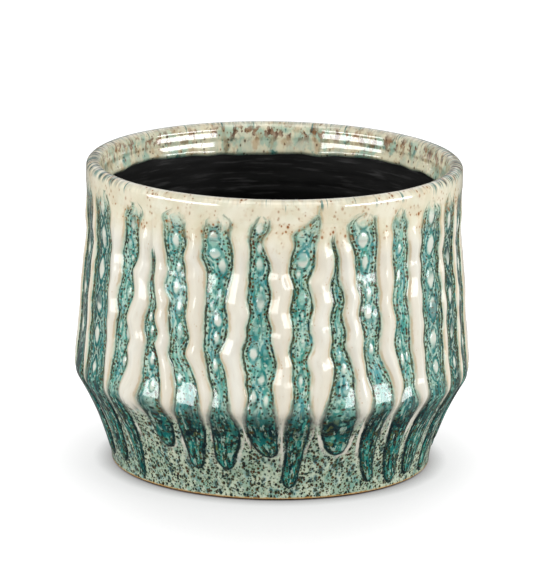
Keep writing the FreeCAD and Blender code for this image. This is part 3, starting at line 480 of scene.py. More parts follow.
def glaze_fields(guides, angle, height):
    """What the glaze does at each point of a ladder of rows: distances in millimetres and shares.

    angle and height are rows by columns; every row has one height.
    """
    rows, columns = angle.shape
    per_degree = np.radians(outline(height)) + 0 * angle
    fields = {name: np.zeros((rows, columns), np.float32) for name in
              ("to_left", "to_right", "bead", "run", "teal", "cream", "flow", "side")}
    fields["bead"][:] = -DEEPEST
    straight = np.stack([guides.left.mean(1), guides.right.mean(1)], 1).ravel()
    straight = np.append(straight, straight[0] + 360)
    for row in range(rows):
        level = height[row, 0]
        left, right = guides.edges(level)
        scale = per_degree[row, 0]
        # A slanting edge is nearer than the distance round the pot says.
        lean_left, lean_right = (np.hypot(1, (lower - edge) * scale / SLANT_STEP)
                                 for lower, edge in zip(guides.edges(level - SLANT_STEP), (left, right)))
        middle = (left + right) / 2
        turn = angle[row]
        # The channel that each point is in or beside, found from the middles.
        place = (turn - middle[0]) % 360
        starts = np.append((middle - middle[0]) % 360, 360)
        before = np.clip(np.searchsorted(starts, place, side="right") - 1, 0, guides.count - 1)
        behind = (before + 1) % guides.count
        past_right = apart(turn, right[before]) * scale / lean_right[before]
        before_left = apart(left[behind], turn) * scale / lean_left[behind]
        in_behind = before_left < 0
        inside = (past_right < 0) | in_behind
        fields["to_left"][row] = np.clip(past_right, 0, FURTHEST)
        fields["to_right"][row] = np.clip(before_left, 0, FURTHEST)
        own = np.where(in_behind, behind, before)
        depth_left = apart(turn, left[own]) * scale / lean_left[own]
        depth_right = apart(right[own], turn) * scale / lean_right[own]
        depth = np.minimum(depth_left, depth_right)
        fields["side"][row] = own * 2 + (depth_left < depth_right)
        above_end = level - guides.ends[np.where(inside, own, before)]
        outside = np.minimum(np.hypot(np.maximum(past_right, 0), np.maximum(-above_end, 0)),
                             np.hypot(np.maximum(before_left, 0), np.maximum(guides.ends[behind] - level, 0)))
        fields["run"][row] = np.where(inside, np.minimum(depth, above_end * 0.8), -outside)
        top = guides.tops[np.where(inside, own, np.where(past_right < before_left, before, behind))]
        fields["teal"][row] = 1 - smooth_step(level, top - 11, top + 3)
        tail = guides.tails[before]
        fields["cream"][row] = smooth_step(level, tail - 9, tail + 3)
        # The angle unrolled so that every edge is straight, which lets streaks follow the channels.
        knots = np.stack([left, right], 1).ravel()
        knots = np.append(knots, knots[0] + 360)
        around = (turn - knots[0]) % 360 + knots[0]
        fields["flow"][row] = np.interp(around, knots, straight)
    warp = np.zeros((rows, columns), np.float32)
    for middle, level, wide, long in guides.beads:
        near = np.nonzero(np.abs(height[:, 0] - level) < long * 1.2)[0]
        if not len(near):
            continue
        block = slice(near[0], near[-1] + 1)
        across = apart(angle[block], middle) * per_degree[block]
        up = height[block] - level
        half_wide, half_long = wide * per_degree[block] / 2, long / 2
        away = (np.abs(across / half_wide) ** 1.7 + np.abs(up / half_long) ** 1.5) ** (1 / 1.6)
        depth = np.clip((1 - away) * np.minimum(half_wide, half_long), -DEEPEST, DEEPEST)
        fields["bead"][block] = np.maximum(fields["bead"][block], depth)
        warp[block] += np.where(away < 4, -across * 0.7 * np.exp(-(away / 1.3) ** 2), 0)
    fields["flow"] += warp / per_degree
    return fields


def sheet_of_glaze(guides):
    """The coat from the foot to the plain band as a grid of points, with its fields, before any relief."""
    levels = np.concatenate([np.linspace(FOOT_EDGE, SHOULDER, LOWER_ROWS),
                             np.linspace(SHOULDER, BAND, UPPER_ROWS)[1:]])
    angle = np.array([guides.mesh_angles(level) for level in levels])
    height = np.repeat(levels[:, None], angle.shape[1], 1)
    fields = glaze_fields(guides, angle, height)
    radius = glazed_outline(height)
    slope = (glazed_outline(np.minimum(height + 0.2, BAND)) - glazed_outline(np.maximum(height - 0.2, 0))) / 0.4
    tilt = np.hypot(1, slope)
    turn = np.radians(angle)
    points = round_axis(radius, turn, height)
    out = np.stack([np.sin(turn) / tilt, -np.cos(turn) / tilt, -slope / tilt], -1)
    # The heights at which ridges, beads and runs stand out of the coat.
    fields["ridge_share"] = smooth_step(height, 21, 40) * (1 - smooth_step(height, 99, BAND - 0.4)) * 0.9
    fields["bead_share"] = smooth_step(height, 38, 44) * (1 - smooth_step(height, 110, BAND - 0.4))
    fields["run_share"] = (1 - smooth_step(height, 37, 50)) * smooth_step(height, FOOT_EDGE, FOOT_EDGE + 0.8)
    fields["even"] = smooth_step(height, FOOT_EDGE, FOOT_EDGE + 1) * (1 - smooth_step(height, 110, BAND))
    # A ridge is lower where it is narrow and at the pot's sides, and highest along its crest.
    wide = fields["to_left"] + fields["to_right"]
    aside = np.abs(points[..., 0]) / np.linalg.norm(points[..., :2], axis=-1)
    crest = np.exp(-(((fields["to_left"] - fields["to_right"]) / 2.2) ** 2)) * smooth_step(wide, 2, 5)
    fields["ridge_share"] *= np.clip(0.55 + 0.45 * wide / 6.0, 0, 1.12) * (1 - 0.15 * smooth_step(aside, 0.7, 0.97))
    fields["ridge_share"] *= 0.84 + 0.32 * crest
    return height, points, out, fields


def grid_faces(rows, columns):
    """The four corners of every cell of a grid that closes round the pot."""
    row, column = np.meshgrid(np.arange(rows - 1), np.arange(columns), indexing="ij")
    following = (column + 1) % columns
    return np.stack([row * columns + column, row * columns + following,
                     (row + 1) * columns + following, (row + 1) * columns + column], -1)


def mesh_from(name, points, faces, more=()):
    """A mesh of points in metres, faces of the same number of corners, and more faces of another number."""
    mesh = bpy.data.meshes.new(name)
    mesh.from_pydata(points.tolist(), [], faces.tolist() + list(more))
    return mesh


def store(mesh, name, values, kind="FLOAT"):
    """Keep a value for every point of a mesh."""
    layer = mesh.attributes.new(name, kind, "POINT")
    layer.data.foreach_set("vector" if kind == "FLOAT_VECTOR" else "value",
                           np.ascontiguousarray(values, np.float32).ravel())


def add_node(tree, kind, settings=None, **links):
    """Add a node, set its own settings, and set or link its sockets by name or number."""
    made = tree.nodes.new(kind)
    for key, value in (settings or {}).items():
        setattr(made, key, value)
    for key, value in links.items():
        socket = made.inputs[int(key[1:]) if key[1:].isdigit() else key.replace("_", " ")]
        if isinstance(value, (bpy.types.Node, bpy.types.NodeSocket)):
            tree.links.new(value.outputs[0] if isinstance(value, bpy.types.Node) else value, socket)
        elif socket.type == "RGBA":
            socket.default_value = (*value[:3], 1.0)
        else:
            socket.default_value = value
    return made


def relief_tree():
    """Geometry nodes that raise ridges, beads and runs out of the coat from the distances stored on it."""
    tree = bpy.data.node_groups.new("glaze_relief", "GeometryNodeTree")
    face = tree.interface
    face.new_socket("Geometry", in_out="OUTPUT", socket_type="NodeSocketGeometry")
    face.new_socket("Geometry", in_out="INPUT", socket_type="NodeSocketGeometry")
    for name in RELIEF_SIZES:
        face.new_socket(name, in_out="INPUT", socket_type="NodeSocketFloat")
    face.new_socket("Seed", in_out="INPUT", socket_type="NodeSocketInt")
    face.new_socket("Glaze", in_out="INPUT", socket_type="NodeSocketMaterial")
    source = add_node(tree, "NodeGroupInput").outputs
    stored = {name: add_node(tree, "GeometryNodeInputNamedAttribute", {"data_type": "FLOAT"}, Name=name).outputs[0]
              for name in RELIEF_FIELDS}

    # The lie of the glaze: low, wide ripples.
    place_at = add_node(tree, "GeometryNodeInputPosition")
    scale = add_node(tree, *OVER, n0=1.0, n1=source["Ripple Length"])
    noise = add_node(tree, "ShaderNodeTexNoise", {"noise_dimensions": "4D"}, Vector=place_at, W=source["Seed"],
                     Scale=scale, Detail=1.0)
    ripple = add_node(tree, *MINUS, n0=noise, n1=0.5)
    ripple = add_node(tree, *TIMES, n0=ripple, n1=source["Ripple"])
    rise = add_node(tree, *TIMES, n0=ripple, n1=stored["even"])
    # A ridge rises from both its edges, a bead and a run from their outline: 1 - exp(-distance / softness).
    softness = add_node(tree, *OVER, n0=source["Ridge Softness"], n1=MM)
    for height, share, edges in (("Ridge Rise", "ridge_share", (("to_left", softness), ("to_right", softness))),
                                 ("Bead Rise", "bead_share", (("bead", 0.75),)),
                                 ("Run Rise", "run_share", (("run", 1.1),))):
        # The numbers beside the beads and the runs are their softness in millimetres.
        form = add_node(tree, *TIMES, n0=source[height], n1=stored[share])
        for name, soft in edges:
            away = add_node(tree, *MOST, n0=stored[name], n1=0.0)
            away = add_node(tree, *OVER, n0=away, n1=soft)
            away = add_node(tree, *TIMES, n0=away, n1=-1.0)
            gone = add_node(tree, *POWER_OF_E, n0=away)
            there = add_node(tree, *MINUS, n0=1.0, n1=gone)
            form = add_node(tree, *TIMES, n0=form, n1=there)
        rise = add_node(tree, *PLUS, n0=rise, n1=form)
    out = add_node(tree, "GeometryNodeInputNamedAttribute", {"data_type": "FLOAT_VECTOR"}, Name="out")
    offset = add_node(tree, "ShaderNodeVectorMath", {"operation": "SCALE"}, n0=out, Scale=rise)
    moved = add_node(tree, "GeometryNodeSetPosition", Geometry=source["Geometry"], Offset=offset)
    whole = add_node(tree, "GeometryNodeRealizeInstances", Geometry=moved)
    glazed = add_node(tree, "GeometryNodeSetMaterial", Geometry=whole, Material=source["Glaze"])
    add_node(tree, "NodeGroupOutput", n0=glazed)
    return tree


def raised(name, points, out, fields, relief, material):
    """A grid of points after the relief's nodes have moved them outward, as its fields say."""
    rows, columns = points.shape[:2]
    mesh = mesh_from(name, points.reshape(-1, 3), grid_faces(rows, columns).reshape(-1, 4))
    for key in RELIEF_FIELDS:
        store(mesh, key, fields[key])
    store(mesh, "out", out, "FLOAT_VECTOR")
    thing = bpy.data.objects.new(name, mesh)
    bpy.context.scene.collection.objects.link(thing)
    modifier = thing.modifiers.new("relief", "NODES")
    modifier.node_group = bpy.data.node_groups.get("glaze_relief") or relief_tree()
    inputs = {size: getattr(relief, size.lower().replace(" ", "_")) for size in RELIEF_SIZES}
    inputs.update({"Seed": relief.seed, "Glaze": material})
    for item in modifier.node_group.interface.items_tree:
        if item.in_out == "INPUT" and item.name in inputs:
            modifier[item.identifier] = inputs[item.name]
    evaluated = thing.evaluated_get(bpy.context.evaluated_depsgraph_get())
    result = positions(bpy.data.meshes.new_from_object(evaluated)).reshape(rows, columns, 3)
    bpy.data.objects.remove(thing)
    return result


def positions(mesh):
    """The points of a mesh as an array."""
    values = np.zeros(len(mesh.vertices) * 3, np.float32)
    mesh.vertices.foreach_get("co", values)
    return values.reshape(-1, 3)


def over_cells(values):
    """The mean of a field over every cell of a grid that closes round the pot."""
    middle = (values[:-1] + values[1:]) / 2
    return (middle + np.roll(middle, -1, 1)) / 2


def grid_normals(points):
    """The outward normal at every point of a grid of rows by columns that closes round the pot."""
    along = np.gradient(points, axis=0)
    round_pot = np.roll(points, -1, 1) - np.roll(points, 1, 1)
    normals = np.cross(round_pot, along)
    return normals / np.maximum(np.linalg.norm(normals, axis=-1, keepdims=True), 1e-12)


def closed_piece(name, outer, inner, cells, fields, material, pole=False):
    """A closed piece from the cells of a grid: its outer face, its inner face and the walls between.

    outer and inner are rows by columns by 3, cells is a mask of rows - 1 by columns. A piece with a pole
    closes after its last row on the axis, with a fan on each face.
    """
    rows, columns = outer.shape[:2]
    picked = grid_faces(rows, columns)[cells]
    sides = np.stack([picked, np.roll(picked, -1, 1)], -1).reshape(-1, 2)
    forward = sides[:, 0] * rows * columns + sides[:, 1]
    backward = sides[:, 1] * rows * columns + sides[:, 0]
    rim = sides[~np.isin(forward, backward)]
    used = np.unique(picked)
    order = np.full(rows * columns, -1)
    order[used] = np.arange(len(used))
    count = len(used)
    front = order[picked]
    back = front[:, ::-1] + count
    a, b = order[rim[:, 0]], order[rim[:, 1]]
    walls = np.stack([b, a, a + count, b + count], 1)
    points = np.concatenate([outer.reshape(-1, 3)[used], inner.reshape(-1, 3)[used]])
    face_out = grid_normals(outer).reshape(-1, 3)[used]
    lies = np.concatenate([face_out, -face_out])
    fans = []
    if pole:
        last = order[(rows - 1) * columns:]
        walls = walls[~(np.isin(a, last) & np.isin(b, last))]
        following = np.roll(last, -1)
        for ring, after, height, way in ((last, following, outer[-1, :, 2].mean(), 1),
                                         (following + count, last + count, inner[-1, :, 2].mean(), -1)):
            fans += np.stack([ring, after, np.full(columns, len(points))], 1).tolist()
            points = np.concatenate([points, [(0, 0, height)]])
            lies = np.concatenate([lies, [(0, 0, way)]])
    mesh = mesh_from(name, points, np.concatenate([front, back, walls]), fans)
    for key, values in fields.items():
        values = np.tile(values.reshape(rows * columns, -1)[used], (2, 1))
        store(mesh, key, values, "FLOAT_VECTOR" if values.shape[1] == 3 else "FLOAT")
    mesh.shade_smooth()
    mesh.normals_split_custom_set_from_vertices(lies.tolist())
    return place(name, mesh, material)


def joined(cells):
    """The cells of a mask, with one more wherever two of them touch only at a corner."""
    cells = cells.copy()
    for _ in range(4):
        here, right = cells[:-1], np.roll(cells, -1, 1)[:-1]
        above, across = cells[1:], np.roll(cells, -1, 1)[1:]
        first = right & above & ~here & ~across
        second = here & across & ~right & ~above
        cells[:-1] |= first
        cells[1:] |= second
    return cells


def place(name, mesh, material):
    """Put a finished mesh in the scene with its material."""
    thing = bpy.data.objects.new(name, mesh)
    bpy.context.scene.collection.objects.link(thing)
    mesh.materials.clear()
    mesh.materials.append(material)
    return thing


def settle(thing, node):
    """Let a finished piece stand for its CAD node and ride on the pot."""
    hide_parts(node)
    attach(thing, "root")


def new_material(name):
    """A node material without nodes."""
    material = bpy.data.materials.new(name)
    material.use_nodes = True
    material.node_tree.nodes.clear()
    return material, material.node_tree


def cloud(tree, at, size, stretch, detail, shift, low=None, high=None):
    """Patches whose grains are size millimetres wide, cut to 0 below low and 1 above high.

    A stretch below 1 draws the grains out along the height, and the shift picks another pattern.
    """
    spot = add_node(tree, "ShaderNodeMapping", Vector=at, Location=(shift, 0, 0), Scale=(1, 1, stretch))
    noise = add_node(tree, "ShaderNodeTexNoise", Vector=spot, Scale=1 / (size * MM), Detail=detail)
    if low is None:
        return noise.outputs[0]
    return add_node(tree, *RAMP, Value=noise, From_Min=low, From_Max=high).outputs[0]


def laid(tree, below, above, *shares):
    """One colour laid over another where every share lets it through."""
    share = shares[0]
    for other in shares[1:]:
        share = add_node(tree, *TIMES, n0=share, n1=other)
    return add_node(tree, *BLEND, n0=share, n6=below, n7=above).outputs[2]


def between(tree, value, low, high, soft):
    """1 between low and high, and smooth outside them."""
    rise = add_node(tree, *RAMP, Value=value, From_Min=low - soft, From_Max=low)
    fall = add_node(tree, *RAMP, Value=value, From_Min=high, From_Max=high + soft,
                    **FALLING)
    return add_node(tree, *TIMES, n0=rise, n1=fall).outputs[0]


def specks(tree, at, size, low, high, many, stretch, shift, loose=1.0):
    """Specks in cells of size millimetres: their cores, their rings, and a chance for each.

    low and high are the radii as shares of a cell, and many is the share of cells with a speck.
    """
    spot = add_node(tree, "ShaderNodeMapping", Vector=at, Location=(shift, 0, 0), Scale=(1, 1, stretch))
    cell = add_node(tree, "ShaderNodeTexVoronoi", Vector=spot, Scale=1 / (size * MM), Randomness=loose)
    chance = add_node(tree, "ShaderNodeSeparateColor", n0=cell.outputs["Color"]).outputs
    radius = add_node(tree, *SCALED, n0=chance[0], n1=high - low, n2=low)
    away = add_node(tree, *OVER, n0=cell.outputs["Distance"], n1=radius)
    there = add_node(tree, *BELOW, n0=chance[1], n1=many)
    shapes = []
    for near, edge in ((0.7, 1.15), (0.9, 2.0)):
        shape = add_node(tree, *RAMP, Value=away, From_Min=near, From_Max=edge,
                         **FALLING)
        shapes.append(add_node(tree, *TIMES, n0=shape, n1=there).outputs[0])
    return shapes[0], shapes[1], chance[2]


def dotted(tree, colour, dots, strength, stain, halo, colours):
    """The colour with specks on it: black, petrol or iron brown cores in stained rings."""
    core, ring, chance = dots
    tone = colours.black
    for other, low in ((colours.petrol, 0.4), (colours.brown, 0.64)):
        pick = add_node(tree, *ABOVE, n0=chance, n1=low)
        tone = laid(tree, tone, other, pick)
    return laid(tree, laid(tree, colour, stain, ring, halo), tone, core, strength)


class GlazeLayers:
    """The layers of the glaze, with what they share: values stored on the mesh, wandering edges, specks."""

    def __init__(self, tree, colours):
        self.tree, self.colours = tree, colours
        for part, keys in (("Vector", ("stream", "skin")),
                           ("Fac", ("run", "bead", "side", "teal", "cream", "level", "ghost", "crumbs", "inside",
                                    "over", "comb", "brink", "turned"))):
            for key in keys:
                setattr(self, key, add_node(tree, "ShaderNodeAttribute", {"attribute_name": key}).outputs[part])
        # How far a point is inside its channel or its bead, with an edge that wanders.
        self.wander = add_node(tree, *MINUS, n0=cloud(tree, self.stream, 1.7, 0.3, 3.0, 0.0), n1=0.5)
        fine = add_node(tree, *MINUS, n0=cloud(tree, self.stream, 0.6, 0.45, 2.0, 3.0), n1=0.5)
        fine = add_node(tree, *TIMES, n0=fine, n1=0.9)
        rough = add_node(tree, *SCALED, n0=self.wander, n1=1.4, n2=fine)
        depth = add_node(tree, *PLUS, n0=self.run, n1=rough)
        # On the sides the teal is laid further over the ridges' flanks, so that they read darker: painted shade.
        self.depth = add_node(tree, *SCALED, n0=self.turned, n1=0.7, n2=depth)
        rough = add_node(tree, *SCALED, n0=self.wander, n1=0.7, n2=fine)
        self.lump = add_node(tree, *PLUS, n0=self.bead, n1=rough)
        # The level with a ragged edge, for whatever begins or ends at a height.
        self.ragged = add_node(tree, *SCALED, n0=self.wander, n1=14.0, n2=self.level)
        self.edge_line = between(tree, self.depth, 0.1, 0.8, 0.35)

        # Chains of dots: cells laid by the distance from the nearest edge and by the height.
        across = add_node(tree, *SCALED, n0=self.wander, n1=0.8, n2=self.run)
        across = add_node(tree, *TIMES, n0=across, n1=MM)
        upward = add_node(tree, *TIMES, n0=self.level, n1=0.8 * MM)
        aside = add_node(tree, *TIMES, n0=self.side, n1=0.011)
        rail = add_node(tree, "ShaderNodeCombineXYZ", X=across, Y=upward, Z=aside)
        core, ring, chance = specks(tree, rail, 1.2, 0.28, 0.5, 0.92, 1, 0.0, 0.65)
        close = add_node(tree, *RAMP, Value=self.run, From_Min=1.9, From_Max=2.6, **FALLING)
        core, ring = (add_node(tree, *TIMES, n0=shape, n1=close) for shape in (core, ring))
        self.chain = core, ring, chance
        self.loose = specks(tree, self.stream, 1.15, 0.24, 0.46, 0.66, 0.85, 2.0)
        self.grit = specks(tree, self.skin, 0.85, 0.18, 0.36, 0.45, 0.9, 4.0)
        self.pale = specks(tree, self.stream, 1.2, 0.2, 0.42, 0.45, 0.7, 6.0)

    def veined(self, colour, at, veils):
        """A colour under clouds of others: (colour, shares, size, stretch, detail, shift, low, high) for each."""
        for above, shares, *grain in veils:
            colour = laid(self.tree, colour, above, *shares, cloud(self.tree, at, *grain))
        return colour

    def cream_glaze(self):
        """Cream, mottled, with stray iron specks, and warmer under the lip."""
        tree, colours = self.tree, self.colours
        stray = specks(tree, self.stream, 1.5, 0.14, 0.24, 0.3, 0.8, 14.0)
        warm = add_node(tree, *RAMP, Value=self.level, **WARMER)
        cream = self.veined(colours.cream, self.stream, (
            # Each row: colour, shares, size, stretch, detail, shift, low, high.
            (colours.ivory, (), 8.0, 0.3, 2.0, 0.0, 0.35, 0.65),
            (colours.ochre, (0.22,), 1.1, 0.25, 3.0, 9.0, 0.6, 0.78),
            (colours.ochre, (stray[0], 0.5), 4.0, 0.25, 1.0, 15.0, 0.52, 0.62)))
        cream = self.veined(cream, self.skin, (
            (colours.olive, (warm, 0.2), 6.0, 0.8, 3.0, 90.0, 0.35, 0.65),
            (colours.ochre, (warm, 0.16), 9.0, 0.8, 3.0, 96.0, 0.42, 0.62)))
        return laid(tree, cream, colours.straw, warm, 0.35)

    def teal_glaze(self):
        """Teal in the channels: pale and bright where it is thin, darker in strands and along the edges."""
        tree, stream, colours = self.tree, self.stream, self.colours
        water = self.veined(colours.teal, stream, (
            (colours.aqua, (1.0,), 1.5, 0.2, 3.0, 5.0, 0.36, 0.62),
            (colours.blue, (0.6,), 4.0, 0.4, 1.0, 8.0, 0.45, 0.6),
            (colours.mist, (0.8,), 2.2, 0.35, 2.0, 7.0, 0.49, 0.62),
            (colours.deep, (0.6,), 0.9, 0.14, 2.0, 11.0, 0.54, 0.64),
            (colours.deep, (0.6,), 3.4, 0.3, 2.0, 18.0, 0.58, 0.68)))
        # Painted shade: towards the pot's sides the teal turns deep, with petrol strands.
        water = laid(tree, water, colours.deep, self.turned, 0.9)
        water = self.veined(water, stream, [(colours.petrol, (self.turned,), 1.6, 0.1, 2.0, 19.0, 0.38, 0.5)])
        # Near the plain band it thins out to a wash.
        wash = add_node(tree, *RAMP, Value=self.ragged, **WASHED)
        water = laid(tree, water, colours.sage, wash, 0.6)
        # Fine lines, dark and light by turns, follow the edges and the beads.
        past = add_node(tree, *TIMES, n0=self.lump, n1=-1.0)
        nearest = add_node(tree, *LEAST, n0=self.depth, n1=past)
        for low, high, colour, strength, shift, start in (
                (0.1, 0.7, colours.deep, 0.5, 11.0, 0.34), (1.15, 1.5, colours.mist, 0.65, 13.0, 0.4),
                (1.9, 2.3, colours.deep, 0.5, 16.0, 0.46), (2.7, 3.0, colours.mist, 0.5, 17.0, 0.46)):
            line = between(tree, nearest, low, high, 0.3)
            water = self.veined(water, stream, [(colour, (line, strength), 4.0, 0.5, 2.0, shift, start, start + 0.1)])
        water = self.veined(water, stream, [(colours.petrol, (self.edge_line, 0.92), 4.0, 0.4, 2.0, 12.0, 0.4, 0.52)])
        water = laid(tree, water, colours.mist, self.pale[0], 0.8)
        for dots, strength, stain, halo in ((self.loose, 0.9, colours.deep, 0.4), (self.grit, 0.8, colours.olive, 0.3),
                                            (self.chain, 0.95, colours.olive, 0.4)):
            water = dotted(tree, water, dots, strength, stain, halo, colours)
        return water

    def run_glaze(self):
        """The same glaze under the shoulder, thicker: dark, blotched and flecked along the flow."""
        tree, colours = self.tree, self.colours
        dark = self.veined(colours.petrol, self.stream, (
            (colours.deep, (0.97,), 1.5, 0.2, 3.0, 5.0, 0.4, 0.5),
            (colours.teal, (0.85,), 1.4, 0.2, 2.0, 47.0, 0.52, 0.58),
            (colours.petrol, (0.95,), 2.0, 0.25, 3.0, 45.0, 0.47, 0.53),
            (colours.mist, (0.7,), 1.1, 0.25, 2.0, 49.0, 0.57, 0.62),
            (colours.olive, (0.55,), 1.0, 0.3, 2.0, 48.0, 0.6, 0.68)))
        dark = laid(tree, laid(tree, dark, colours.teal, self.pale[1], 0.35), colours.aqua, self.pale[0], 0.6)
        for dots, stain in ((self.chain, colours.teal), (self.loose, colours.olive), (self.grit, colours.teal)):
            dark = dotted(tree, dark, dots, 0.9, stain, 0.25, colours)
        dark = laid(tree, dark, colours.petrol, between(tree, self.depth, 0.0, 0.9, 0.5), 0.8)
        heavy = between(tree, self.ragged, 30.0, 38.0, 5.0)
        return self.veined(dark, self.stream, [(colours.petrol, (heavy, 0.5), 3.0, 0.3, 2.0, 63.0, 0.4, 0.55)])

    def with_beads(self, water):
        """The teal with its beads: cream lumps, some of them half drowned."""
        tree, colours = self.tree, self.colours
        drowned = cloud(tree, self.stream, 6.0, 0.7, 1.0, 55.0, 0.4, 0.56)
        drowned = add_node(tree, *SCALED, n0=drowned, n1=0.7, n2=0.12)
        for colour, strength, low, high in ((colours.mist, 0.8, -0.25, 0.35), (colours.cream, 0.9, 0.1, 0.7)):
            risen = add_node(tree, *RAMP, Value=self.lump, From_Min=low, From_Max=high)
            water = laid(tree, water, colour, risen, drowned, strength)
        return water

    def celadon_glaze(self, cream):
        """Celadon with faint drips, blotches and specks, under the cream that reaches down between the runs."""
        tree, colours = self.tree, self.colours
        ground = self.veined(colours.celadon, self.stream, (
            (colours.sage, (), 3.0, 0.5, 3.0, 0.0, 0.32, 0.62),
            (colours.teal, (0.45,), 3.6, 0.45, 2.0, 39.0, 0.54, 0.7),
            (colours.deep, (0.9, self.ghost), 1.2, 0.2, 3.0, 41.0, 0.35, 0.6)))
        blotch = specks(tree, self.skin, 2.9, 0.2, 0.4, 0.6, 0.8, 33.0)
        ground = laid(tree, laid(tree, ground, colours.blue, blotch[1], 0.5), colours.petrol, blotch[0], 0.85)
        light = specks(tree, self.skin, 1.3, 0.22, 0.38, 0.5, 0.9, 35.0)
        ground = laid(tree, ground, colours.ivory, light[0], 0.5)
        for size, low, high, many, shift, stain in ((1.6, 0.28, 0.52, 0.85, 30.0, colours.olive),
                                                    (1.1, 0.26, 0.46, 0.62, 31.0, colours.deep),
                                                    (0.85, 0.24, 0.42, 0.5, 32.0, colours.olive)):
            dots = specks(tree, self.skin, size, low, high, many, 1, shift)
            ground = dotted(tree, ground, dots, 0.98, stain, 0.3, colours)
        # Cream between the runs thins to lines beside them, and then gives way to the celadon.
        full = add_node(tree, *RAMP, Value=self.ragged, **CREAM_FADES)
        ground = laid(tree, ground, cream, full)
        beside = between(tree, self.depth, -1.2, -0.3, 0.5)
        return self.veined(ground, self.stream, [(cream, (beside, self.cream), 5.0, 0.4, 1.0, 42.0, 0.42, 0.56)])

    def stained(self, base, shown):
        """The cream beside the teal: tan, then sage, then aqua, with a thin broken line of iron."""
        tree, colours = self.tree, self.colours
        upper = add_node(tree, *RAMP, Value=self.level, **STAINS_FADE)
        for colour, strength, reach in ((colours.ochre, 0.22, -3.2), (colours.sage, 0.5, -1.8),
                                        (colours.aqua, 0.4, -0.9)):
            haze = add_node(tree, *RAMP, Value=self.depth, From_Min=reach, From_Max=0.0)
            base = laid(tree, base, colour, haze, shown, upper, strength)
        line = between(tree, self.depth, -1.0, -0.5, 0.4)
        rusty = colours.ochre, (line, shown, upper, 0.4), 4.0, 0.4, 2.0, 95.0, 0.42, 0.54
        return self.veined(base, self.stream, [rusty])

    def crumbled(self, colour):
        """A colour with iron crumbs, in clusters near the lip and over the tops of the channels."""
        core, ring, _ = specks(self.tree, self.skin, 1.5, 0.16, 0.38, 0.8, 0.75, 50.0)
        cluster = cloud(self.tree, self.skin, 5.0, 1, 2.0, 52.0, 0.47, 0.58)
        for stain, *shares in ((self.colours.ochre, self.crumbs, cluster, 0.18),
                               (self.colours.ochre, ring, self.crumbs, cluster, 0.4),
                               (self.colours.rust, core, self.crumbs, cluster, 0.95)):
            colour = laid(self.tree, colour, stain, *shares)
        return colour

    def rim_glaze(self, colour):
        """A colour with the straw, the patches and the rust inside the rim, and streaks combed over the lip."""
        tree, stream, inside, comb, colours = self.tree, self.stream, self.inside, self.comb, self.colours
        straw = self.veined(colours.straw, stream, [(colours.sage, (), 4.0, 0.6, 3.0, 70.0, 0.42, 0.75)])
        colour = laid(tree, colour, straw, inside, 0.9)
        patch = cloud(tree, stream, 7.0, 0.8, 4.0, 73.0, 0.5, 0.6)
        colour = laid(tree, colour, colours.aqua, patch, inside, 0.6)
        colour = self.veined(colour, stream, (
            (colours.deep, (patch, inside, 0.8), 3.4, 0.8, 4.0, 76.0, 0.56, 0.64),
            (colours.ochre, (inside, 0.5), 5.0, 0.8, 4.0, 78.0, 0.52, 0.66)))
        high_up = add_node(tree, *RAMP, Value=self.level, **RUSTY)
        rust = cloud(tree, stream, 3.0, 0.7, 4.0, 79.0, 0.5, 0.58), high_up, inside, 0.8
        colour = laid(tree, colour, colours.rust, *rust)
        colour = self.veined(colour, stream, (
            (colours.brown, rust, 2.0, 0.5, 3.0, 81.0, 0.5, 0.6),
            (colours.deep, (self.over, 0.8), 1.5, 0.07, 2.0, 82.0, 0.62, 0.7),
            (colours.deep, (comb, 0.85), 1.9, 0.09, 2.0, 85.0, 0.48, 0.56),
            (colours.petrol, (comb, 0.7), 1.5, 0.08, 2.0, 92.0, 0.55, 0.62),
            (colours.brown, (comb, 0.8), 1.6, 0.12, 2.0, 88.0, 0.55, 0.62)))
        dots = specks(tree, self.skin, 1.5, 0.16, 0.34, 0.4, 0.8, 84.0)
        colour = laid(tree, colour, dotted(tree, colour, dots, 0.8, colours.ochre, 0.4, colours), inside)
        return laid(tree, colour, colours.deep, self.brink, 0.6)


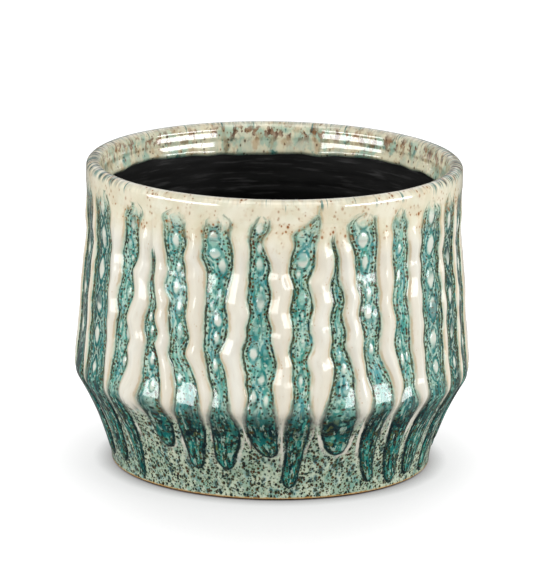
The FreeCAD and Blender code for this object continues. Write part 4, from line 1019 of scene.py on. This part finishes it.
def reactive_glaze(name, colours, zone, gloss, sheen=0.5):
    """Reactive stoneware glaze, poured thick and fired glossy: cream where it is thick, teal where it ran.

    To the eye it is glass over pigment: sharp reflections, colour that pools in the channels, chains of
    iron and copper dots that follow the way the glaze flowed.
    """
    material, tree = new_material(name)
    layers = GlazeLayers(tree, colours)
    low_down = add_node(tree, *RAMP, Value=layers.ragged, **RUNS_FADE, **FALLING)
    water = layers.with_beads(laid(tree, layers.teal_glaze(), layers.run_glaze(), low_down))
    base = layers.cream_glaze()
    if zone == "lower":
        base = layers.celadon_glaze(base)
    shown = add_node(tree, *SCALED, n0=layers.wander, n1=1.5, n2=layers.teal)
    shown = add_node(tree, *SCALED, n0=layers.edge_line, n1=0.1, n2=shown)
    shown = add_node(tree, *RAMP, Value=shown, From_Min=0.22, From_Max=0.75)
    # The teal's edge is sharp on the wall, and soft at the shoulder and under the plain band.
    blurred = add_node(tree, *SCALED, n0=between(tree, layers.level, 34, 41, 5.0), n1=1.1, n2=0.32)
    high_up = add_node(tree, *RAMP, Value=layers.level, **SOFTER)
    blurred = add_node(tree, *PLUS, n0=high_up, n1=blurred)
    sharp = add_node(tree, *OVER, n0=layers.depth, n1=blurred)
    sharp = add_node(tree, *RAMP, Value=sharp, From_Min=-1.0, From_Max=1.0)
    colour = laid(tree, layers.stained(base, shown), water, sharp, shown)
    colour = layers.crumbled(colour)
    if zone == "lower":
        foot = add_node(tree, *PLUS, n0=layers.level, n1=layers.wander)
        foot = add_node(tree, *RAMP, Value=foot, From_Min=1.0, From_Max=1.6, **FALLING)
        colour = laid(tree, colour, colours.ochre, foot, 0.85)
    if zone == "rim":
        colour = layers.rim_glaze(colour)
    # The sides shine less, since they look into the dark of the room.
    sheen, gloss = (add_node(tree, *SCALED, n0=layers.turned, n1=less * full, n2=full)
                    for full, less in ((sheen, -0.5), (gloss, -0.85)))
    bump = add_node(tree, "ShaderNodeBump", Strength=0.12, Distance=0.0002,
                    Height=cloud(tree, layers.stream, 1.8, 0.5, 2.0, 60.0))
    shader = add_node(tree, "ShaderNodeBsdfPrincipled", Base_Color=colour, Roughness=0.08, IOR=1.52,
                      Specular_IOR_Level=sheen, Coat_Weight=gloss, Coat_Roughness=0.03, Normal=bump)
    add_node(tree, "ShaderNodeOutputMaterial", Surface=shader)
    return material


def matte_slip(colours):
    """Black slip, brushed on and fired without glaze: matte, dry, a little greyer where it is thin."""
    material, tree = new_material("black_slip_brushed_and_fired")
    place_at = add_node(tree, "ShaderNodeTexCoord").outputs["Object"]
    colour = laid(tree, colours.slip, linear("#161616"), cloud(tree, place_at, 18.0, 4, 4.0, 0.0, 0.4, 0.6))
    colour = laid(tree, colour, linear("#3c3c3c"), cloud(tree, place_at, 14.0, 9, 5.0, 1.0, 0.5, 0.75))
    bump = add_node(tree, "ShaderNodeBump", Strength=0.3, Distance=0.0002,
                    Height=cloud(tree, place_at, 1.1, 1, 2.0, 0.0))
    shader = add_node(tree, "ShaderNodeBsdfPrincipled", Base_Color=colour, Roughness=0.7, Specular_IOR_Level=0.25,
                      Normal=bump)
    add_node(tree, "ShaderNodeOutputMaterial", Surface=shader)
    return material


def bare_stoneware_and_contact_shade(colours):
    """Iron-bearing stoneware, turned and left bare at the foot: dry, warm brown, with fine grog. Its browns are
    darkened to stand also for the contact shadow under the foot, which is painted shade.
    """
    material, tree = new_material("bare_stoneware_turned")
    place_at = add_node(tree, "ShaderNodeTexCoord").outputs["Object"]
    # Both browns are darker than the clay: partly its own colour, partly painted shadow along the foot.
    colour = laid(tree, colours.clay, linear("#3f2915"), cloud(tree, place_at, 4.5, 1, 5.0, 0.0, 0.35, 0.68))
    grog = add_node(tree, "ShaderNodeTexVoronoi", Vector=place_at, Scale=700.0)
    bump = add_node(tree, "ShaderNodeBump", Strength=0.4, Distance=0.0003, Height=grog)
    shader = add_node(tree, "ShaderNodeBsdfPrincipled", Base_Color=colour, Roughness=0.85, Normal=bump)
    add_node(tree, "ShaderNodeOutputMaterial", Surface=shader)
    return material


def ghost_share(angle, height):
    """How much of a faint drip lies at each point of the lower wall."""
    share = np.zeros(angle.shape, np.float32)
    for middle, top, bottom, half in GHOSTS:
        across = np.abs(apart(angle, middle)) * np.radians(outline(height))
        wide = half * (0.6 + 0.4 * smooth_step(height, top, bottom + 1))
        reach = (1 - smooth_step(across, wide * 0.4, wide)) * smooth_step(height, bottom, bottom + 1.6)
        share = np.maximum(share, reach * (1 - smooth_step(height, top - 2, top + 6)))
    return share


def outer_glaze(relief, colours):
    """Make the coats and the relief outside, from the foot to the plain band."""
    height, points, out, fields = sheet_of_glaze(Guides())
    rows, columns = height.shape
    wall = reactive_glaze("reactive_glaze_on_wall", colours, "wall", 0.5, 0.4)
    outer = raised("glaze_sheet", points, out, fields, relief, wall)
    outer[..., :2] *= np.minimum(1, REACH * MM / np.linalg.norm(outer[..., :2], axis=-1, keepdims=True))
    inner = points * 1
    inner[..., :2] *= (outline(height) * MM / np.linalg.norm(points[..., :2], axis=-1))[..., None]
    angle = np.degrees(np.arctan2(points[..., 0], -points[..., 1]))
    kept = {key: fields[key] for key in ("side", "bead", "run", "teal", "cream")}
    kept.update({"level": height, "ghost": ghost_share(angle, height), "crumbs": smooth_step(height, 103, 111),
                 "turned": side_shade_share(np.radians(angle)),
                 "stream": round_axis(PLAIN_RADIUS, np.radians(fields["flow"]), height),
                 "skin": round_axis(PLAIN_RADIUS, np.radians(angle), height)})
    cell_row, cell_column = np.meshgrid(np.arange(rows - 1), np.arange(columns), indexing="ij")
    upper = cell_row >= LOWER_ROWS - 1
    ridge = (cell_column % (IN_CHANNEL + IN_RIDGE)) >= IN_CHANNEL
    bead = joined(upper & ~ridge & (over_cells(fields["bead"]) > 0))
    run = joined(~upper & (over_cells(fields["run"]) > 0)) & ~upper
    cream = reactive_glaze("reactive_glaze_cream_ridge", colours, "wall", 0.15, 0.3)
    drop = reactive_glaze("reactive_glaze_bead", colours, "wall", 0.5, 0.4)
    low = reactive_glaze("celadon_glaze_speckled", colours, "lower", 0.0, 0.4)
    thick = reactive_glaze("reactive_glaze_run", colours, "lower", 0.05, 0.25)
    for name, cells, material, slot in (
            ("wall_glaze", upper & ~ridge & ~bead, wall, "teal_glaze"),
            ("wall_ridges", upper & ridge, cream, "cream_glaze"),
            ("wall_beads", bead, drop, "cream_glaze"),
            ("base_glaze", ~upper & ~run, low, "celadon_glaze"),
            ("glaze_runs", run, thick, "dark_teal_glaze")):
        settle(closed_piece(name + "_relief", outer, inner, cells, kept, material), name)


def lip_profile():
    """The rim's glazed face from the plain band, over the lip, to the glaze line: (radius, height)."""
    inside = RIM_RADIUS - WALL - COAT
    steps = [(RIM_RADIUS + COAT, height) for height in np.linspace(BAND, LIP, OUTSIDE_ROWS, endpoint=False)]
    steps += [(RIM_RADIUS - WALL / 2 + LIP_ROUND * math.cos(turn), LIP + LIP_ROUND * math.sin(turn))
              for turn in np.linspace(0, math.pi, LIP_ROWS)]
    steps += [(np.interp(height, (GLAZE_LINE, BAND, LIP), (inside - 0.41, inside, inside)), height)
              for height in np.linspace(LIP, GLAZE_LINE, INSIDE_ROWS)[1:]]
    return np.array(steps)


def rim_coat(relief, colours):
    """Make the coat over the lip, with its roll at the glaze line inside."""
    profile = lip_profile()
    rows = len(profile)
    angle = np.repeat(np.linspace(0, 360, RIM_COLUMNS, endpoint=False)[None], rows, 0)
    turn = np.radians(angle)
    radius, level = profile[:, :1] + 0 * angle, profile[:, 1:] + 0 * angle
    inward = np.arange(rows)[:, None] >= OUTSIDE_ROWS + LIP_ROWS // 2
    source = np.random.default_rng(SEED + 3)
    wave = sum(source.uniform(0.25, 1) * np.sin(turn * turns + source.uniform(0, 7)) / turns ** 0.5
               for turns in (3, 5, 8, 13, 19, 27, 37))
    height = level + smooth_step(level, 117, GLAZE_LINE) * inward * wave * 0.9
    # The glaze inside rolls in under the lip, hollows, and swells again above its wavy edge.
    roll = np.interp(level, ROLL_HEIGHTS, ROLL_DEPTHS)
    points = round_axis(radius - roll * inward, turn, height)
    away, rise = across_profile(profile)
    out = round_axis(away, turn, rise) / MM
    fields = dict.fromkeys(RELIEF_FIELDS, 0 * angle)
    fields["bead"] = fields["run"] = 0 * angle - DEEPEST
    fields["even"] = smooth_step(height, BAND, BAND + 3) * 0.5 * (1 - inward) + inward * 0.5
    material = reactive_glaze("reactive_glaze_on_rim", colours, "rim", 0.8)
    outer = raised("rim_sheet", points, out, fields, relief, material)
    outer[..., 2] = np.minimum(outer[..., 2], TOP * MM)
    inner = points - out * COAT * MM * 0.95

    wall = glaze_fields(Guides(), angle, np.clip(height, 0, TOP)[:, :1] + 0 * angle)
    outside = 1 - smooth_step(np.arange(rows)[:, None] + 0 * angle, 14, 20)
    path = lengths(profile) + 0 * angle
    flow = angle + apart(wall["flow"], angle) * (1 - smooth_step(path, 0, 5))
    # Streaks combed over the lip are strong at the sides and the back, and faint in front.
    aside = np.abs(apart(angle, 0))
    comb = (0.1 + 0.8 * smooth_step(aside, 48, 66)) * smooth_step(path, 5.5, 8) * (1 - smooth_step(path, 11, 14))
    comb = comb * (1 - 0.5 * smooth_step(aside, 100, 125))
    line = smooth_step(aside, 100, 125) * smooth_step(path, 8.4, 9.4) * (1 - smooth_step(path, 10.5, 11.3))
    kept = {"side": wall["side"], "bead": wall["bead"], "run": np.where(outside > 0.5, wall["run"], -3),
            "teal": wall["teal"] * outside, "cream": 0 * angle + 1, "level": level, "ghost": 0 * angle,
            "crumbs": 1 - 0.5 * outside, "inside": smooth_step(path, 11.5, 16), "comb": comb,
            "over": smooth_step(path, 4, 7) * (1 - smooth_step(path, 13, 17)),
            "brink": np.maximum(smooth_step(path, path[-1, 0] - 1.4, path[-1, 0]), line),
            "turned": side_shade_share(turn),
            "stream": round_axis(PLAIN_RADIUS, np.radians(flow), BAND + path),
            "skin": round_axis(PLAIN_RADIUS, turn, BAND + path)}
    cells = np.ones((rows - 1, RIM_COLUMNS), bool)
    settle(closed_piece("rim_glaze_roll", outer, inner, cells, kept, material), "rim_glaze")


def lining_profile():
    """The slip's face from under the glaze line down the wall to the middle of the floor: (radius, height)."""
    steps = [(float(outline(height)) - WALL - LINING, height)
             for height in np.linspace(112.6, FLOOR + FLOOR_CORNER, 130)]
    centre, bend = steps[-1][0] + LINING - FLOOR_CORNER, FLOOR_CORNER - LINING
    steps += [(centre + bend * math.cos(turn), FLOOR + FLOOR_CORNER - bend * math.sin(turn))
              for turn in np.linspace(0, math.pi / 2, 16)[1:]]
    steps += [(radius, FLOOR + LINING) for radius in np.linspace(steps[-1][0], 0.4, 30)[1:]]
    return np.array(steps)


def lining_coat(relief, colours):
    """Make the slip inside as one closed coat with faint turning rings."""
    profile = lining_profile()
    rows = len(profile)
    source = np.random.default_rng(SEED + 5)
    away, up = across_profile(profile)
    along = lengths(profile)
    turn = np.radians(np.linspace(0, 360, LINING_COLUMNS, endpoint=False))[None]
    ring = sum(np.sin(2 * math.pi * along / pitch + turn + source.uniform(0, 7)) * pitch / 12
               for pitch in (3.1, 4.7, 7.9, 12.6))
    rise = ring * smooth_step(along, 0, 6) * smooth_step(profile[:, :1], 0.4, 12) * relief.ring_rise / MM
    outer, inner = (round_axis(profile[:, :1] + away * offset, turn, profile[:, 1:] + up * offset)
                    for offset in (rise, 0.1 - LINING))
    cells = np.ones((rows - 1, LINING_COLUMNS), bool)
    thing = closed_piece("black_slip_lining", outer, inner, cells, {}, matte_slip(colours), True)
    settle(thing, "black_lining")


def seen_directly(tree):
    """1 for what the camera sees itself, 0 for what only lights or mirrors."""
    path = add_node(tree, "ShaderNodeLightPath").outputs
    return add_node(tree, *MOST, n0=path["Is Camera Ray"], n1=path["Is Transmission Ray"])


def paper_floor():
    """White paper under the pot: white to the camera, with painted shadow that dims this white near the pot, over the
    real shadow that its grey paper keeps.
    """
    corners = np.array([(-1, -1, 0), (1, -1, 0), (1, 1, 0), (-1, 1, 0)]) * FLOOR_REACH
    mesh = mesh_from("studio_floor", corners, np.array([[0, 1, 2, 3]]))
    material, tree = new_material("studio_floor_paper")
    spot = add_node(tree, "ShaderNodeTexCoord").outputs["Object"]
    # Painted shadow: the white that the camera sees is dimmed round a spot a little in front of the pot, narrower at
    # the sides.
    wide = add_node(tree, "ShaderNodeMapping", n1=(0, 0.04, 0), n3=(1.5, 1, 1), Vector=spot)
    far = add_node(tree, "ShaderNodeVectorMath", {"operation": "LENGTH"}, n0=wide).outputs["Value"]
    painted_shadow_glow = add_node(tree, *RAMP, Value=far, From_Min=0.06, From_Max=0.17, To_Min=0.74, To_Max=1.0)
    shine = add_node(tree, *TIMES, n0=seen_directly(tree), n1=painted_shadow_glow)
    # Painted shadow too: that white is dimmed further where ambient occlusion finds the pot close.
    for reach, share in ((0.07, 0.35), (0.008, 0.92)):
        open_sky = add_node(tree, "ShaderNodeAmbientOcclusion", {"samples": 8}, Distance=reach).outputs["AO"]
        painted_contact_shadow = add_node(tree, *SCALED, n0=open_sky, n1=share, n2=1 - share)
        shine = add_node(tree, *TIMES, n0=shine, n1=painted_contact_shadow)
    shader = add_node(tree, "ShaderNodeBsdfPrincipled", Base_Color=PAPER, Roughness=0.9,
                      Specular_IOR_Level=0.0, Emission_Color=WHITE, Emission_Strength=shine)
    add_node(tree, "ShaderNodeOutputMaterial", Surface=shader)
    place("studio_floor", mesh, material)


def white_world(ambient):
    """A world that is white to the camera and lights the pot faintly from all round."""
    world = bpy.data.worlds.new("studio_world")
    world.use_nodes = True
    tree = world.node_tree
    tree.nodes.clear()
    dim, white = (add_node(tree, "ShaderNodeBackground", Color=WHITE, Strength=strength)
                  for strength in (ambient, 1.0))
    mix = add_node(tree, "ShaderNodeMixShader", n0=seen_directly(tree), n1=dim, n2=white)
    add_node(tree, "ShaderNodeOutputWorld", Surface=mix)
    bpy.context.scene.world = world


def softbox(name, at, target, size, energy):
    """A rectangle of light that faces a target."""
    light = bpy.data.lights.new(name, "AREA")
    light.shape, light.energy = "RECTANGLE", energy
    light.size, light.size_y = size
    thing = bpy.data.objects.new(name, light)
    bpy.context.scene.collection.objects.link(thing)
    thing.location = at
    thing.rotation_euler = (Vector(target) - thing.location).to_track_quat("-Z", "Y").to_euler()


def photo_camera(distance, elevation, roll):
    """The camera of the photograph: a long lens that looks a little above the pot's middle."""
    scene = bpy.context.scene
    camera = bpy.data.cameras.new("photo_camera")
    camera.lens, camera.sensor_width = LENS_LENGTH, SENSOR_WIDTH
    camera.clip_start, camera.clip_end = 0.05, 60
    thing = bpy.data.objects.new("photo_camera", camera)
    scene.collection.objects.link(thing)
    back = Vector((0, -math.cos(elevation), math.sin(elevation)))
    thing.location = Vector(POT_MIDDLE) + back * distance
    facing = (-back).to_track_quat("-Z", "Y").to_matrix()
    up = math.atan2(POT_IN_PHOTO[1] - PHOTO_MIDDLE[1], LENS_PIXELS)
    aside = math.atan2(POT_IN_PHOTO[0] - PHOTO_MIDDLE[0], LENS_PIXELS)
    for angle, axis in ((up, "X"), (aside, "Y"), (roll, "Z")):
        facing = facing @ Matrix.Rotation(angle, 3, axis)
    thing.rotation_mode = "QUATERNION"
    thing.rotation_quaternion = facing.to_quaternion()
    scene.camera = thing


def studio(settings):
    """Floor, world, lights and camera."""
    bpy.context.scene.view_settings.view_transform = "Standard"
    paper_floor()
    white_world(settings.ambient)
    for name, turn, share in (("softbox_left", -56, 0.94), ("softbox_right", 65, 1.04)):
        at = (math.sin(math.radians(turn)), -math.cos(math.radians(turn)), SIDE_LIGHT_HEIGHT)
        softbox(name, at, (0, 0, SIDE_LIGHT_HEIGHT), (0.86, 0.36), settings.softbox_power * share)
    for name, at, energy in (("softbox_above", (0, -0.5, 1.5), 7.0), ("softbox_behind", (0, 1.2, 0.9), 2.8)):
        softbox(name, at, POT_MIDDLE, (1.4, 1.0), energy)
    photo_camera(settings.distance, settings.elevation, settings.roll)


class CACHEPOT_OT_outer_glaze(bpy.types.Operator):
    """Lay the coats, ridges, beads and runs outside"""
    bl_idname = "cachepot.outer_glaze"
    bl_label = "Glaze outside"

    def execute(self, context):
        outer_glaze(context.scene.cachepot_relief, context.scene.cachepot_colours)
        return {"FINISHED"}


class CACHEPOT_OT_rim_glaze(bpy.types.Operator):
    """Lay the coat over the lip"""
    bl_idname = "cachepot.rim_glaze"
    bl_label = "Glaze the rim"

    def execute(self, context):
        rim_coat(context.scene.cachepot_relief, context.scene.cachepot_colours)
        return {"FINISHED"}


class CACHEPOT_OT_lining(bpy.types.Operator):
    """Brush the black slip inside"""
    bl_idname = "cachepot.lining"
    bl_label = "Line the inside"

    def execute(self, context):
        lining_coat(context.scene.cachepot_relief, context.scene.cachepot_colours)
        return {"FINISHED"}


class CACHEPOT_OT_clay(bpy.types.Operator):
    """Give the clay body its bare stoneware"""
    bl_idname = "cachepot.clay"
    bl_label = "Bare clay"

    def execute(self, context):
        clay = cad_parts["clay_body"]
        clay.data.materials.clear()
        clay.data.materials.append(bare_stoneware_and_contact_shade(context.scene.cachepot_colours))
        return {"FINISHED"}


class CACHEPOT_OT_studio(bpy.types.Operator):
    """Set the floor, the lights and the camera"""
    bl_idname = "cachepot.studio"
    bl_label = "Studio"

    def execute(self, context):
        studio(context.scene.cachepot_studio)
        return {"FINISHED"}


class CACHEPOT_PT_panel(bpy.types.Panel):
    """The cachepot's steps"""
    bl_label = "Cachepot"
    bl_idname = "CACHEPOT_PT_panel"
    bl_space_type = "VIEW_3D"
    bl_region_type = "UI"
    bl_category = "Cachepot"

    def draw(self, context):
        layout = self.layout
        for group in ("cachepot_relief", "cachepot_colours", "cachepot_studio"):
            settings = getattr(context.scene, group)
            for name in settings.__annotations__:
                layout.prop(settings, name)
        for operator in OPERATORS:
            layout.operator(operator.bl_idname)


OPERATORS = (CACHEPOT_OT_clay, CACHEPOT_OT_outer_glaze, CACHEPOT_OT_rim_glaze, CACHEPOT_OT_lining,
             CACHEPOT_OT_studio)
CLASSES = (CachepotRelief, CachepotColours, CachepotStudio, *OPERATORS, CACHEPOT_PT_panel)


def register():
    """Register the classes and the settings on the scene."""
    for item in CLASSES:
        bpy.utils.register_class(item)
    bpy.types.Scene.cachepot_relief = PointerProperty(type=CachepotRelief)
    bpy.types.Scene.cachepot_colours = PointerProperty(type=CachepotColours)
    bpy.types.Scene.cachepot_studio = PointerProperty(type=CachepotStudio)


def unregister():
    """Take the classes and the settings away."""
    del bpy.types.Scene.cachepot_studio
    del bpy.types.Scene.cachepot_colours
    del bpy.types.Scene.cachepot_relief
    for item in reversed(CLASSES):
        bpy.utils.unregister_class(item)


def main():
    """Build the whole scene."""
    register()
    bpy.ops.cachepot.clay()
    bpy.ops.cachepot.outer_glaze()
    bpy.ops.cachepot.rim_glaze()
    bpy.ops.cachepot.lining()
    bpy.ops.cachepot.studio()


if __name__ == "__main__":
    main()
